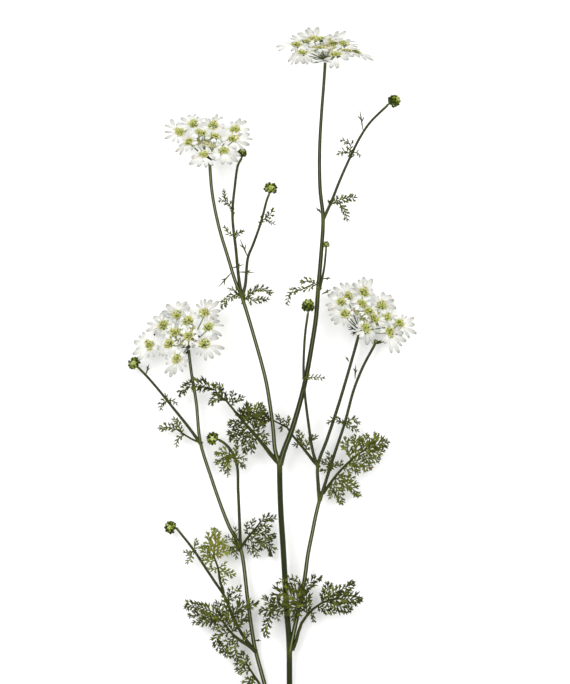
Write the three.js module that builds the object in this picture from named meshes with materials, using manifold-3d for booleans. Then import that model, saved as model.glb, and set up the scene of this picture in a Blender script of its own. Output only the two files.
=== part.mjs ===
// A cut flowering stem of white laceflower (sold as Queen Anne's lace), lying on a table.
//
// Units are millimetres. The stem lies along +Y with its cut end at -Y, the table is z = 0 and +Z is up.
// The origin is below the middle of the whole stem, on the table.
// One branching green stem carries four open flower heads, nine closed buds, nine cut fronds
// and the small leaves at its upper nodes. Each of those is one mesh.

import * as THREE from 'three';
import { mergeVertices } from 'three/addons/utils/BufferGeometryUtils.js';
import Module from 'manifold-3d';

const wasm = await Module();
wasm.setup();

// ---------------------------------------------------------------- driving dimensions

const GAP = 0.3; // air left between the stem and what grows on it
const HALF_LENGTH = 311; // from the middle of the plant to its cut end
const CENTRING = [6.1, 1.6, 0]; // from the middle of the plan below to the middle of the whole plant

const STEM_SIDES = 5;
const TWIG_SIDES = 4;
const TWIG_RADIUS = 1.45; // thinner branches are twigs
const JOINT_SWELLING = 1.35; // of a branch's radius, where it leaves its stem
const RAY_RADIUS = 0.55; // the thin stalks inside a flower head
const RAY_SIDES = 3;

const BLADE_THICKNESS = 0.8;
const RIB_HALF_WIDTH = 0.6; // the green strip left along the middle of a cut blade
const LOBE_STEP = 8.5; // from one pair of leaf lobes to the next
const LOBE_LEAN = 0.7; // how far a lobe points forward, for each millimetre that it reaches out
const BLADE_FOLD = 0.16; // rise of a blade's edge, for each millimetre from its rib

const PETALS = 5; // bilobed petals round one umbellet
const PETAL_RADIUS = 5.2; // reach of an umbellet's petals towards the middle of its head
const PETAL_EXTRA = 6.3; // how much longer the petals on the outer side of the head are
const PETAL_THICKNESS = 0.8;
const LOBED_PETAL = [0.42, 0.96, 0.8, 1]; // reach at the cut between two petals, a lobe, the notch and a lobe
const PLAIN_PETAL = [0.5, 1]; // of an umbellet in the middle of a head: the cut and the petal's tip
const LOBED_SHARE = 0.65; // of the head's radius, from which umbellets have lobed petals
const HEAD_RADIUS = 26; // from the middle of a flower head to its outermost umbellets
const FLORET_HEIGHT = 2.4; // the small florets rise to a point inside the ring of petals

const BUD_BRACTS = 6;

// ---------------------------------------------------------------- the stem and its branches
// Each branch starts inside the branch that carries it. radii are at its two ends.

const STEMS = [
  { // main stem, from the cut end to the upper fork
    radii: [2.25, 2.1], steps: 9,
    route: [[14, -HALF_LENGTH, 2], [14, -276, 4], [14, -211, 7], [13.6, -176, 8.5], [12, -156, 9.5],
      [10.4, -128, 11], [8.8, -100, 12], [7.2, -76, 13], [6.4, -56, 14], [6, -33, 15]],
  },
  { // leader, up to flower head 1
    radii: [2.1, 1.1], steps: 14,
    route: [[6, -36, 15], [10.4, -22, 15.6], [15.2, -10, 16], [24, 20, 18], [28, 38, 19.5], [31.2, 56, 20.5],
      [35.2, 82, 22], [36.8, 104, 23], [39.2, 132, 24], [40.8, 162, 25.5], [38.4, 184, 27], [38, 216, 28.5],
      [39.2, 240, 30], [41.6, 272, 32], [42.4, 285, 33]],
  },
  { // upper left branch, up to flower head 2
    radii: [1.5, 1.2], steps: 12,
    route: [[6, -36, 15], [2.4, -24, 16], [1, -8, 17], [-1, 8, 17.5], [-5, 32, 18], [-13.6, 64, 18.5],
      [-24, 98, 18.5], [-29, 110, 18], [-35.2, 130, 17], [-42.4, 154, 16], [-48, 182, 15], [-50, 206, 14.5]],
  },
  { // twig to bud 2, which stands against flower head 2
    radii: [1.2, 0.9], steps: 7,
    route: [[-24, 98, 18.5], [-26.4, 112, 19], [-28.8, 136, 20], [-31.6, 164, 20], [-29.6, 188, 19],
      [-27.2, 204, 18], [-24.6, 209, 17.6]],
  },
  { // twig to bud 3
    radii: [1.1, 0.9], steps: 6,
    route: [[-24, 98, 18.5], [-21.4, 108, 19.4], [-19.2, 130, 21], [-15.2, 140, 22], [-8.8, 158, 24],
      [-4, 176, 26], [-2.4, 180, 26.4]],
  },
  { // twig to bud 1, from the leader
    radii: [1.1, 0.9], steps: 8,
    route: [[40.8, 160, 25.5], [47.2, 174, 24], [54.4, 192, 22], [62.4, 210, 20], [70.4, 226, 19],
      [78.4, 238, 18], [92.6, 252, 17]],
  },
  { // short twig to the smallest bud
    radii: [0.9, 0.8], steps: 3,
    route: [[38, 104, 23], [41.6, 121, 26], [43.2, 136.6, 28.4]],
  },
  { // right branch, from the lower node of the main stem
    radii: [1.7, 1.4], steps: 7,
    route: [[14.2, -186, 8], [18.4, -166, 9], [22.4, -148, 9.5], [26.4, -126, 10], [28.8, -108, 10.5],
      [32, -92, 11], [35.2, -76, 11.5], [38.4, -63, 12]],
  },
  { // its left arm, up to flower head 4
    radii: [1.3, 1.1], steps: 8,
    route: [[38.2, -65, 12], [37, -52, 12.3], [36.8, -36, 12.8], [44, -16, 12.5], [53.6, 13, 12],
      [64, 48, 10], [70, 69.5, 8]],
  },
  { // its right arm, up to the opening bud
    radii: [1.2, 1], steps: 7,
    route: [[38.2, -65, 12], [44.8, -44, 11.5], [51.2, -24, 11], [58.4, -2.4, 10.5], [65.6, 24, 9],
      [72.8, 42, 7.5], [82.6, 60.4, 6]],
  },
  { // twig that crosses above the leader to bud 4
    radii: [1.1, 0.9], steps: 8,
    route: [[36.8, -38, 12.8], [32.8, -25.6, 14], [28.8, 0, 18], [26.2, 22, 22.6], [25.2, 40, 24.5],
      [26.4, 68, 25.5], [28.6, 84.6, 26]],
  },
  { // left stem, which leaves the main stem low down and carries flower head 3
    radii: [1.7, 1.1], steps: 15,
    route: [[14, -278, 4], [7.2, -258, 3.6], [0, -236, 4], [-6.4, -211, 5], [-13.6, -184, 6.5],
      [-16.4, -168, 7], [-19.6, -144, 7.5], [-25.6, -102, 8.5], [-32.8, -89, 9.2], [-38.4, -76, 9.5],
      [-49.6, -44, 10.3], [-57.6, -17.6, 10.5], [-60.8, 14, 10], [-64.8, 38, 8.5], [-67, 56, 7]],
  },
  { // twig to bud 5
    radii: [1.2, 1], steps: 7,
    route: [[-25.4, -104, 8.5], [-26, -84, 9.5], [-27.2, -56, 11], [-28, -37, 12], [-32, -26, 13],
      [-37.6, -19.2, 14], [-42.4, -16, 14.6]],
  },
  { // twig to bud 6
    radii: [1.1, 0.9], steps: 6,
    route: [[-57.4, -19, 10.5], [-67.2, -5.6, 11], [-80, 10.4, 11.5], [-89.6, 22.4, 11.5], [-100, 34.4, 10.5],
      [-107, 41.6, 9.6]],
  },
  { // twig to bud 7
    radii: [1.2, 0.9], steps: 8,
    route: [[-13.4, -186, 6.4], [-23.2, -173.6, 7.5], [-31.2, -158.4, 9], [-38.4, -141, 10], [-45.6, -130.4, 10.5],
      [-53.6, -118.4, 10.5], [-63.2, -104, 9.8], [-76.4, -87.4, 9]],
  },
];

// Single narrow bracts, from inside their stem to their tip.
const BRACT_RADII = [0.9, 0.45];
const BRACTS = [
  [[-32.4, 118, 17.8], [-36, 114, 18.8], [-42.8, 106.4, 17.5]],
  [[-32.2, 121.4, 17.5], [-27.4, 123.4, 22.2], [-22.6, 124.4, 23]],
  [[-26.8, 118.4, 19.3], [-21.4, 118.4, 23], [-14, 118, 22.4]],
  [[-19.2, 130, 21], [-21.6, 136, 23.4], [-25.6, 144.6, 24.6]],
  [[40.8, 164, 25.6], [39.4, 169, 28.2], [34.8, 170, 27.8]],
  [[39.8, 113, 24.7], [43, 113.2, 25.2], [47.4, 113.4, 24.6]],
  [[-101.4, 35.8, 10.4], [-99, 40, 12], [-98.4, 45, 13]],
  [[-14.8, -177.4, 6.8], [-11.6, -177.6, 7.2], [-8.8, -177.2, 6.8]],
];

// ---------------------------------------------------------------- leaves
// A frond has a stalk, which is a tapered round rib, and blades. A blade is a row of its half width
// and the points that its middle runs through, and it is cut nearly to that middle into narrow lobes.

const FRONDS = {
  frond_1: { // arches from the upper fork over the left stem
    radii: [1.9, 0.7],
    stalk: [[0.5, -29.5, 15.6], [-8, -18.4, 18], [-17.6, -7.2, 20], [-24.8, 1, 21.5], [-31.2, 9, 22],
      [-38.4, 17.6, 21.5]],
    blades: [
      [4, [-35, 13.6, 21.7], [-45.6, 24, 20], [-53.6, 28, 18.5], [-61.6, 28.8, 17], [-69.6, 25.6, 15.5],
        [-74.4, 20.8, 14.5]],
      [5, [-20, -3.6, 20.5], [-16, 5, 24], [-8, 9.6, 25]],
      [4, [-15.4, -9.8, 19.6], [-11.4, -1, 22], [-7.4, 4.4, 23]],
      [3.2, [-21.4, -3, 20.5], [-27, -2.4, 20.5], [-33.6, -3.5, 19.5]],
      [3.5, [-18.6, -6.2, 20], [-25.6, -8.5, 19], [-34, -11, 17.5]],
      [3.4, [-14.4, -11, 19], [-19.6, -17.6, 17.5], [-22.6, -25, 16]],
      [2.4, [-13.6, -11.8, 19], [-9, -10.6, 20], [-3.8, -11.8, 20.6]],
      [3, [-38, 17, 21.5], [-44, 17, 20], [-49.6, 13.6, 18.5]],
      [2, [-33, 11.4, 22], [-27.6, 16.6, 23.4], [-22.6, 18.4, 24]],
    ],
  },
  frond_2: { // passes below the leader and the upper left branch
    radii: [1.4, 0.6],
    stalk: [[35, -35.2, 12], [30.4, -29.6, 11.5], [24.8, -22.4, 11], [20.8, -17.6, 10.5], [16, -12, 10],
      [12, -6, 10], [6.4, -3.2, 10], [0, 0, 10.5]],
    blades: [
      [3, [2, -1, 10.3], [-7.2, 1.4, 11], [-13, -3.2, 11.6]],
      [3, [24.8, -22.4, 11], [22.6, -15.6, 13], [21.6, -9.6, 14]],
      [2.4, [26.8, -24.8, 11.4], [29.6, -17, 11.8], [36, -13.2, 12]],
      [2, [12.4, -6.2, 10.3], [11.4, -1.6, 11.4], [13.4, 1.8, 12]],
      [1.6, [-5.6, 1.2, 11.2], [-7.8, -6.2, 10.2]],
    ],
  },
  frond_3: { // to the right of the right branch
    radii: [1.3, 0.6],
    stalk: [[43.4, -55.4, 12], [47.4, -50, 12.8], [51.2, -44.8, 13.5], [59.2, -36, 14.5], [67.2, -28.8, 15.5],
      [76, -23.2, 15]],
    blades: [
      [4.6, [73, -25, 15.2], [84.8, -19.4, 14], [92, -18.4, 12.5]],
      [3.4, [63, -32.4, 15], [61.6, -25.6, 16], [58.8, -20, 15.6], [58.8, -15, 15]],
      [3.8, [67, -29, 15.5], [67.6, -20, 17], [66.8, -13.6, 17]],
      [3.8, [71.6, -26, 15.3], [73.8, -19, 17.4], [75.4, -13, 17.4]],
      [3.4, [77.6, -22.6, 14.8], [81, -16.8, 16.4], [84.4, -12.8, 16]],
      [3.4, [69, -27.4, 15.3], [76, -31, 13.6], [85.6, -31.6, 11.6]],
      [4.2, [50, -46.2, 13.3], [57.4, -50.4, 11], [65, -55, 9], [68.4, -61.4, 7.6]],
      [3.4, [47, -50.4, 12.7], [51.8, -55.4, 11], [55, -61.4, 9], [56.4, -67, 8]],
    ],
  },
  frond_4: { // spreads over the main stem and the right branch
    radii: [1.5, 0.7],
    stalk: [[18.6, -180, 8.6], [21.8, -168, 10], [24.8, -161, 11.5], [28, -156.8, 13], [35.2, -149.6, 15],
      [44.8, -144.4, 16.5], [54, -142.8, 16.4]],
    blades: [
      [5, [47.4, -144.4, 16.8], [60, -142.9, 16.3], [70, -145, 13.5]],
      [4, [43.4, -145.2, 16.3], [51.6, -137, 18.2], [60.8, -133.8, 17.5], [65.6, -130.4, 17]],
      [3.8, [39, -147.4, 15.8], [43.4, -138.4, 18], [45, -131.4, 18.6]],
      [4, [28, -156.8, 13], [28, -148, 16], [26.4, -137.6, 18], [32, -128.4, 19.4], [39, -126.8, 19.4]],
      [2, [26.6, -139, 17.8], [22.4, -131.2, 18.8], [16.8, -126.4, 18.4], [8.8, -127.6, 17.8], [3, -131.6, 16.8]],
      [5, [28, -150, 15.6], [21.6, -145.4, 17], [14.4, -140, 18], [6.4, -138.4, 17.5], [1.2, -144.6, 16]],
      [4.4, [24, -147.2, 16.4], [17, -150.6, 16.6], [9.6, -151, 16], [3, -149.4, 14.6]],
      [3.4, [3.6, -149.6, 14.8], [-2.6, -153, 13], [-8.4, -152.6, 11.8]],
      [2.8, [0.4, -151.6, 14], [-2, -159.6, 12.5], [-5.6, -166.4, 10.6], [-3.4, -175, 9]],
    ],
  },
  frond_5: { // between the left stem and the main stem
    radii: [1.4, 0.6],
    stalk: [[-23.2, -100.2, 9.6], [-20, -95.2, 10.5], [-16, -90.4, 12], [-12, -85.6, 13], [-9, -81.4, 13.2]],
    blades: [
      [2.8, [-11, -84.2, 13.1], [-5.6, -79.2, 13], [2.6, -79.4, 11.5]],
      [3.6, [-17, -91.6, 11.8], [-11.2, -90.4, 13], [-4.8, -91.6, 12], [1.8, -94.4, 10]],
      [3, [-12.6, -95.4, 11], [-4.8, -99.4, 10], [0, -103.6, 8.5], [-0.8, -109, 7.5]],
      [2, [-18, -92.8, 11.3], [-11.2, -96.6, 11], [-8.4, -104.6, 9.5]],
      [1.8, [-18, -92.8, 11.3], [-20.6, -88.6, 13], [-19.6, -82.6, 14]],
    ],
  },
  frond_6: { // the broad dark frond on the left, over the twig to bud 7
    radii: [1.7, 0.7],
    stalk: [[-16, -183.4, 9.6], [-19.2, -180.8, 10.8], [-25.6, -176.8, 13], [-32, -171.2, 15], [-35.2, -167.2, 15.5],
      [-40, -160, 16]],
    blades: [
      [4, [-38.5, -163.2, 16.4], [-46, -154.6, 15.7], [-53.6, -151.2, 14.5], [-61.6, -148.8, 13], [-69.4, -148, 11.5]],
      [2.8, [-41.4, -159.2, 16.3], [-50, -159.4, 14.1], [-58, -156, 13], [-67, -157.4, 11.5]],
      [3.2, [-33, -170, 15.2], [-41.6, -171.6, 13.5], [-44.8, -175.6, 12], [-43.2, -182.6, 10.5], [-40, -187, 9.5]],
      [2.8, [-26.6, -176.2, 13.4], [-30, -181, 13], [-29.4, -186.4, 12.4], [-27.8, -193, 11.6]],
      [4.2, [-36.4, -165.1, 15.8], [-33, -158.2, 16.7], [-27.6, -151.6, 16.5], [-21.6, -148.4, 16], [-12.6, -147.6, 15.5]],
      [2.6, [-40.3, -159.2, 16.2], [-41.8, -152, 17], [-44.4, -145.4, 17.5]],
      [2.6, [-37.1, -162.9, 15.7], [-36.2, -150, 18.3], [-36, -141.6, 19], [-31.2, -136, 19.5], [-24.4, -134.6, 19.5]],
    ],
  },
  frond_7: { // on the twig to bud 7
    radii: [1.2, 0.6],
    stalk: [[-39.8, -134.6, 12], [-41.6, -130, 12.6], [-42.4, -124, 13.5], [-43.6, -117, 14], [-45.8, -112, 14],
      [-46.8, -106.4, 13.6]],
    blades: [
      [4, [-46.4, -109, 13.8], [-45.6, -102, 13.2], [-44.8, -94.4, 12.5], [-45.8, -88, 11.5]],
      [2.8, [-46.6, -107, 13.6], [-50.6, -98.6, 12.6], [-50.6, -91.6, 11.6]],
      [3.6, [-46.4, -108, 13.7], [-41.2, -106, 13.2], [-34.8, -104.6, 12.4]],
      [2.8, [-45.8, -101.6, 13.1], [-41.4, -98.6, 12.4], [-37.2, -98.4, 11.2]],
      [3.6, [-45.8, -111.8, 14], [-51.8, -107.6, 13], [-55.4, -102.4, 12]],
      [2.6, [-42.8, -121.4, 13.6], [-37.6, -121.6, 13], [-30.8, -124.8, 12]],
    ],
  },
  frond_8: { // the lowest frond, on the left stem
    radii: [1.3, 0.7],
    stalk: [[-5.2, -221, 6.4], [-10.4, -211.6, 8], [-16, -203, 9], [-20.2, -196, 9]],
    blades: [
      [3.4, [-18, -199.6, 9], [-21.6, -193.6, 8.4], [-24, -187.4, 7.2]],
      [2.6, [-17, -201.4, 9], [-23, -201.6, 8], [-28.6, -200.8, 6.5]],
      [3.6, [-12.6, -208.2, 8.4], [-19, -210.4, 7], [-23.4, -218, 5.5]],
      [2.2, [-19.4, -197.4, 9], [-25.4, -195.2, 7.4], [-30, -196, 6]],
    ],
  },
  frond_9: { // small, at the fork below flower head 3
    radii: [0.9, 0.6],
    stalk: [[-60, -17.4, 10.2], [-66, -14.6, 9.4], [-71.6, -11, 9], [-76, -8, 9]],
    blades: [
      [2.8, [-75, -8.4, 9], [-83.2, -5.8, 8.5], [-90.4, -6.6, 7.5]],
      [2, [-72, -10.8, 9], [-75.4, -4, 8.6], [-78.6, 1.6, 8.2]],
      [2, [-70, -12, 9], [-75.4, -15, 8], [-77, -21.6, 7]],
    ],
  },
};

// The small leaves sit on the upper nodes. Each is a few such blades, without a stalk.
const SMALL_LEAVES = {
  leaf_1: [[2, [46.6, -38.4, 13.2], [43.2, -34.4, 14.6], [38.6, -32.4, 15.2]],
    [2.2, [45.8, -37.4, 13.5], [46, -31.4, 14.6], [45, -26.4, 15]],
    [2, [46.2, -38, 13.3], [52, -36.6, 13.4], [56, -33.8, 13]]],
  leaf_2: [[2.4, [-25.6, 99.4, 19], [-29.8, 100.4, 19.6], [-35.2, 97, 18.5], [-41, 90.4, 17]]],
  leaf_3: [[2.6, [-21.6, 97.4, 19], [-15.2, 103.4, 19.6], [-8, 105.6, 19.6], [0.4, 100.8, 18]],
    [2.2, [-19.6, 99, 19.3], [-15.2, 95.2, 18.5], [-8.4, 96.4, 18], [-2.6, 96.6, 17.5]]],
  leaf_4: [[1.8, [-31.8, 168, 21.4], [-34.8, 173.4, 21.4], [-38, 176.4, 21], [-43, 175, 20]],
    [1.6, [-36.8, 175.6, 21.1], [-38, 179.6, 21.8], [-38.4, 183.4, 22.5]]],
  leaf_5: [[1.8, [-29.6, 147.4, 22], [-35, 149.4, 22], [-37.8, 155, 22]],
    [1.6, [-31, 148, 22], [-27, 149.2, 22], [-23, 150.6, 21.4]]],
  leaf_6: [[2, [-8.4, 158.6, 25.6], [-4.8, 161.4, 25.6], [-0.6, 165, 25.2], [1.4, 169.4, 24.6]],
    [1.5, [-6, 160.6, 25.6], [-2.4, 158.6, 25], [1.6, 156.6, 24]]],
  leaf_7: [[2.8, [47.4, 173.4, 25.6], [52.8, 175.4, 25.4], [59, 177.2, 24.6], [67.4, 177.8, 22.6]],
    [2.2, [51.6, 175, 25.4], [56, 170.6, 24.4], [59, 165.4, 23.4], [60, 159.4, 22]]],
  leaf_8: [[2.2, [36.4, 107.4, 24.6], [30.4, 111.4, 24.6], [22.8, 110, 23.5]],
    [2, [33.6, 109.4, 24.6], [29.4, 104.8, 24], [21.4, 104.8, 23.5], [14.4, 101.4, 22.2], [11.6, 91.4, 20]]],
  leaf_9: [[2.2, [63.2, 211.8, 21.6], [58.8, 215.4, 21.6], [52.4, 212.8, 20.5]],
    [2, [61.8, 213, 21.6], [63, 221, 22], [55, 223.8, 21.5]]],
  leaf_10: [[2, [26, 33.4, 25.8], [33, 34.6, 26], [41.8, 33.4, 25]]],
  leaf_11: [[2, [59.4, -2.4, 12], [64, -6, 11.6], [69, -9, 10.6]],
    [1.8, [60.4, -3.2, 11.9], [63.4, 0.6, 12.6], [68, -0.6, 12], [70, -3, 11.5]]],
  leaf_12: [[2, [57.4, -2.4, 12.4], [54, -0.6, 13.6], [49.6, 0.6, 14.8], [44.2, -2.6, 14.2]]],
  leaf_13: [[1.8, [-83, 15.4, 13.2], [-87.6, 14, 13], [-89.8, 8, 12]],
    [1.4, [-84.4, 15.2, 13.2], [-79.6, 15.6, 13.4], [-76.6, 12.6, 12.6]]],
  leaf_14: [[2.8, [-32.6, -28, 13.6], [-38.4, -25.2, 13], [-45.2, -27.4, 12]],
    [2.8, [-34, -27.4, 13.5], [-38.4, -32.4, 12], [-45.2, -34, 10.5]],
    [2.4, [-35.4, -29, 13], [-36, -37.6, 11.5], [-35.6, -45, 9.5]]],
  leaf_15: [[2, [-29.8, -31.4, 13.2], [-28.8, -24, 13.4], [-27.4, -18.8, 13]]],
  leaf_16: [[1.8, [-63, -105.6, 11.8], [-67, -107.6, 11], [-70.4, -105.6, 10.5]],
    [1.8, [-64.6, -106.6, 11.6], [-65.8, -112, 10.6], [-68.6, -114.6, 9.6]],
    [1.6, [-64, -106.2, 11.7], [-61.8, -101.8, 12], [-60.6, -95.6, 12.5]]],
  leaf_17: [[2.4, [-27.6, -101.6, 9.4], [-30.6, -101, 8.6], [-32.4, -107, 7]],
    [2, [-29, -101.4, 9.1], [-29.6, -93.6, 12], [-29, -86.4, 13]]],
};

// ---------------------------------------------------------------- flower heads
// base is where the head's rays leave the stem. Each umbellet is the middle of one ring of petals.

const HEADS = {
  flower_head_1: { // on the leader, seen edge on
    base: [42.4, 287, 33.6], facing: [0, 0.96, 0.28],
    umbellets: [[20, 299, 32], [28, 302, 19], [38, 303, 36], [49, 301, 22], [57, 300, 27], [24, 291, 56],
      [38, 295, 52], [51, 289, 62], [59, 293, 50], [67, 293, 40], [33, 306, 10], [48, 304, 10]],
    bracts: [[32, 287.6, 37], [32.4, 284.4, 33], [52.8, 288, 34], [46.4, 284.4, 39], [37, 290.4, 29]],
  },
  flower_head_2: { // on the upper left branch
    base: [-50.2, 208.4, 14.8], facing: [-0.05, 0.79, 0.61],
    umbellets: [[-63, 237, 15], [-74, 230, 22], [-66, 222, 33], [-57, 229, 27], [-47, 236, 17], [-45, 226, 33],
      [-30, 232, 23], [-31, 224, 34], [-38, 214, 44], [-54, 211, 45]],
    bracts: [[-58, 213, 20], [-42, 212, 19], [-52, 218, 13], [-55, 206, 24], [-46, 208, 25]],
  },
  flower_head_3: { // on the left stem
    base: [-67.2, 58.4, 7], facing: [-0.31, 0.53, 0.79],
    umbellets: [[-76, 84, 8], [-87, 76, 8.6], [-54, 86, 17], [-67, 79, 19], [-51, 74, 26], [-67, 67, 27],
      [-78, 70, 21], [-98, 60, 18], [-82, 61, 25], [-54, 61, 33], [-76, 49, 33]],
    bracts: [[-73.6, 58.4, 9.5], [-72.6, 62.4, 10], [-60.4, 59.4, 10], [-69, 51.6, 9.5], [-66, 62, 14]],
  },
  flower_head_4: { // on the right branch
    base: [70.6, 71.6, 8.4], facing: [0.25, 0.62, 0.74],
    umbellets: [[55, 94, 23], [61, 99, 16], [58, 85, 30], [72, 93, 21], [76, 99, 7.4], [77, 87, 25], [82, 81, 28],
      [88, 92, 9.8], [92, 82, 20], [75, 73, 34], [94, 70, 29]],
    bracts: [[60, 74.6, 11], [63, 68.8, 10], [78, 69, 11], [74, 79, 9], [69, 73, 17]],
  },
};

// ---------------------------------------------------------------- buds
// A bud stands on the end of its twig and points along its direction.

const BUDS = {
  bud_1: { base: [93, 252.6, 16.9], towards: [0.86, 0.5, -0.06], radius: 4.6, length: 10 },
  bud_2: { base: [-24.4, 209.6, 17.6], towards: [0.15, 0.98, -0.1], radius: 3.4, length: 7.4 },
  bud_3: { base: [-2.2, 180.6, 26.5], towards: [0.25, 0.96, 0.12], radius: 5, length: 8.4 },
  bud_4: { base: [28.8, 85.4, 26], towards: [0.02, 1, 0.05], radius: 4.8, length: 10.6 },
  bud_5: { base: [-43, -15.8, 14.7], towards: [-0.95, 0.2, 0.2], radius: 5, length: 8.6 },
  bud_6: { base: [-107.4, 42, 9.6], towards: [-0.68, 0.72, 0], radius: 5, length: 8.4 },
  bud_7: { base: [-76.9, -87, 9], towards: [-0.97, 0.15, 0], radius: 5, length: 8.4 },
  bud_8: { base: [43.2, 137.2, 28.6], towards: [0.02, 1, 0.1], radius: 2.6, length: 5.4 },
  bud_9: { base: [82.8, 61, 6], towards: [0.3, 0.9, 0.1], radius: 2.6, length: 5,
    arms: [[75, 66, 6.4], [92, 64.6, 6.6], [86, 70, 6]] },
};

// ---------------------------------------------------------------- materials

const stemGreen = new THREE.MeshStandardMaterial({ name: 'stem green', color: 0x44561f, roughness: 0.6 });
const leafGreen = new THREE.MeshStandardMaterial({ name: 'leaf green', color: 0x33471a, roughness: 0.65 });
const budGreen = new THREE.MeshStandardMaterial({ name: 'bud green', color: 0x6a8a22, roughness: 0.6 });
const petalWhite = new THREE.MeshStandardMaterial({ name: 'petal white', color: 0xf4f4ea, roughness: 0.7 });

// ---------------------------------------------------------------- solids

const vector = ([x, y, z]) => new THREE.Vector3(x, y, z);

// A smooth line through the points, or a straight one through two.
function lineThrough(points) {
  return new THREE.CatmullRomCurve3(points.map(vector), false, 'centripetal');
}

// A closed geometry becomes a solid: doubled vertices are merged, and faces that vanish are dropped.
function solidOf(geometry) {
  const bare = geometry.index ? geometry.toNonIndexed() : geometry.clone();
  bare.deleteAttribute('normal');
  bare.deleteAttribute('uv');
  const merged = mergeVertices(bare, 1e-4);
  const corners = merged.index.array;
  const kept = [];
  for (let i = 0; i < corners.length; i += 3) {
    const [a, b, c] = [corners[i], corners[i + 1], corners[i + 2]];
    if (a !== b && b !== c && a !== c) kept.push(a, b, c);
  }
  return new wasm.Manifold(new wasm.Mesh({
    numProp: 3,
    vertProperties: Float32Array.from(merged.attributes.position.array),
    triVerts: Uint32Array.from(kept),
  }));
}

// Several solids joined into one.
function joined(solids) {
  return solids.reduce((whole, next) => whole.add(next));
}

// The largest connected body of a solid, without loose scraps.
function largestBody(solid) {
  return solid.decompose().reduce((best, body) => (body.volume() > best.volume() ? body : best));
}

// A named mesh with the solid's own vertices.
function meshOf(name, solid, material) {
  const { vertProperties, triVerts } = solid.getMesh();
  const geometry = new THREE.BufferGeometry();
  geometry.setAttribute('position', new THREE.BufferAttribute(Float32Array.from(vertProperties), 3));
  geometry.setIndex(new THREE.BufferAttribute(Uint32Array.from(triVerts), 1));
  geometry.computeVertexNormals();
  const mesh = new THREE.Mesh(geometry, material);
  mesh.name = name;
  return mesh;
}

// Moves every vertex of a geometry to the place that the function gives for it.
function reshaped(geometry, place) {
  const position = geometry.attributes.position;
  const vertex = new THREE.Vector3();
  for (let i = 0; i < position.count; i += 1) {
    vertex.fromBufferAttribute(position, i);
    vertex.copy(place(vertex));
    position.setXYZ(i, vertex.x, vertex.y, vertex.z);
  }
  return geometry;
}

// A tapered round rod along a route: a straight extruded polygon, bent ring by ring. Its first ring may
// be swollen, as a branch is where it leaves its stem.
function rod(route, [startRadius, endRadius], steps, sides, swelling = 1) {
  const curve = lineThrough(route);
  const frames = curve.computeFrenetFrames(steps);
  const section = new THREE.Shape();
  for (let i = 0; i < sides; i += 1) {
    const turn = (i / sides) * 2 * Math.PI;
    section[i === 0 ? 'moveTo' : 'lineTo'](Math.cos(turn), Math.sin(turn));
  }
  const straight = new THREE.ExtrudeGeometry(section, { depth: 1, steps, bevelEnabled: false });
  return solidOf(reshaped(straight, ({ x, y, z }) => {
    const ring = Math.round(z * steps);
    const radius = THREE.MathUtils.lerp(startRadius, endRadius, z) * (ring === 0 ? swelling : 1);
    return curve.getPointAt(ring / steps)
      .addScaledVector(frames.normals[ring], x * radius)
      .addScaledVector(frames.binormals[ring], y * radius);
  }));
}

// A small swelling, such as a joint or the sheath at a leaf's root.
function knot(centre, radius) {
  return solidOf(new THREE.IcosahedronGeometry(radius).translate(...centre));
}

// The outline of a flat cut blade: x runs along its rib and y across it. Each lobe is a tooth that
// leans forward, and the cut behind it comes back to the rib.
function bladeOutline(length, halfWidth) {
  const pairs = Math.max(1, Math.round(length / LOBE_STEP));
  const step = length / (pairs + 0.8);
  const side = (sign, shift) => {
    const points = [];
    for (let k = 0; k < pairs; k += 1) {
      const along = (k + 0.3 + shift) * step;
      const width = halfWidth * (0.45 + 0.55 * Math.sin(Math.PI * (0.2 + (0.75 * k) / pairs)));
      points.push([along, sign * RIB_HALF_WIDTH]);
      points.push([along + step * 0.45 + LOBE_LEAN * width, sign * (RIB_HALF_WIDTH + width)]);
    }
    points.push([(pairs + 0.2 + shift) * step, sign * RIB_HALF_WIDTH]);
    return points;
  };
  return [[0, -RIB_HALF_WIDTH], ...side(-1, 0), [length, 0], ...side(1, 0.2).reverse(),
    [0, RIB_HALF_WIDTH]];
}

// A cut blade of even thickness, bent along its points and folded up a little on both sides of its rib.
// The outline is bent before it is cut into triangles, so that none of them turns over.
function blade(halfWidth, points) {
  const curve = lineThrough(points);
  const length = curve.getLength();
  const edge = bladeOutline(length, halfWidth).map(([x, y]) => {
    const share = THREE.MathUtils.clamp(x / length, 0, 1);
    const tangent = curve.getTangentAt(share);
    const across = new THREE.Vector3(-tangent.y, tangent.x, 0).normalize();
    const place = curve.getPointAt(share)
      .addScaledVector(tangent, x - share * length)
      .addScaledVector(across, y);
    place.z += BLADE_FOLD * Math.abs(y);
    return place;
  });
  const plan = new THREE.Shape(edge.map(({ x, y }) => new THREE.Vector2(x, y)));
  const flat = new THREE.ExtrudeGeometry(plan, { depth: BLADE_THICKNESS, steps: 1, bevelEnabled: false });
  return solidOf(reshaped(flat, ({ x, y, z }) => {
    const distances = edge.map((place) => Math.hypot(place.x - x, place.y - y));
    const height = edge[distances.indexOf(Math.min(...distances))].z;
    return new THREE.Vector3(x, y, height + z - BLADE_THICKNESS / 2);
  }));
}

// Turns +Y to the given direction and moves the origin to the given place.
function standing(centre, direction, outward) {
  const up = direction.clone().normalize();
  const side = outward.clone().addScaledVector(up, -outward.dot(up)).normalize();
  const third = new THREE.Vector3().crossVectors(side, up);
  return new THREE.Matrix4().makeBasis(side, up, third).setPosition(centre);
}

// ---------------------------------------------------------------- sub-parts

function stemSolid(extra) {
  const branches = STEMS.map(({ route, radii, steps }) => (
    rod(route, radii.map((radius) => radius + extra), steps,
      radii[0] < TWIG_RADIUS ? TWIG_SIDES : STEM_SIDES, JOINT_SWELLING)));
  const bracts = BRACTS.map((route) => rod(route, BRACT_RADII.map((radius) => radius + extra), 2, 3));
  return joined([...branches, ...bracts]);
}

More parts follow.
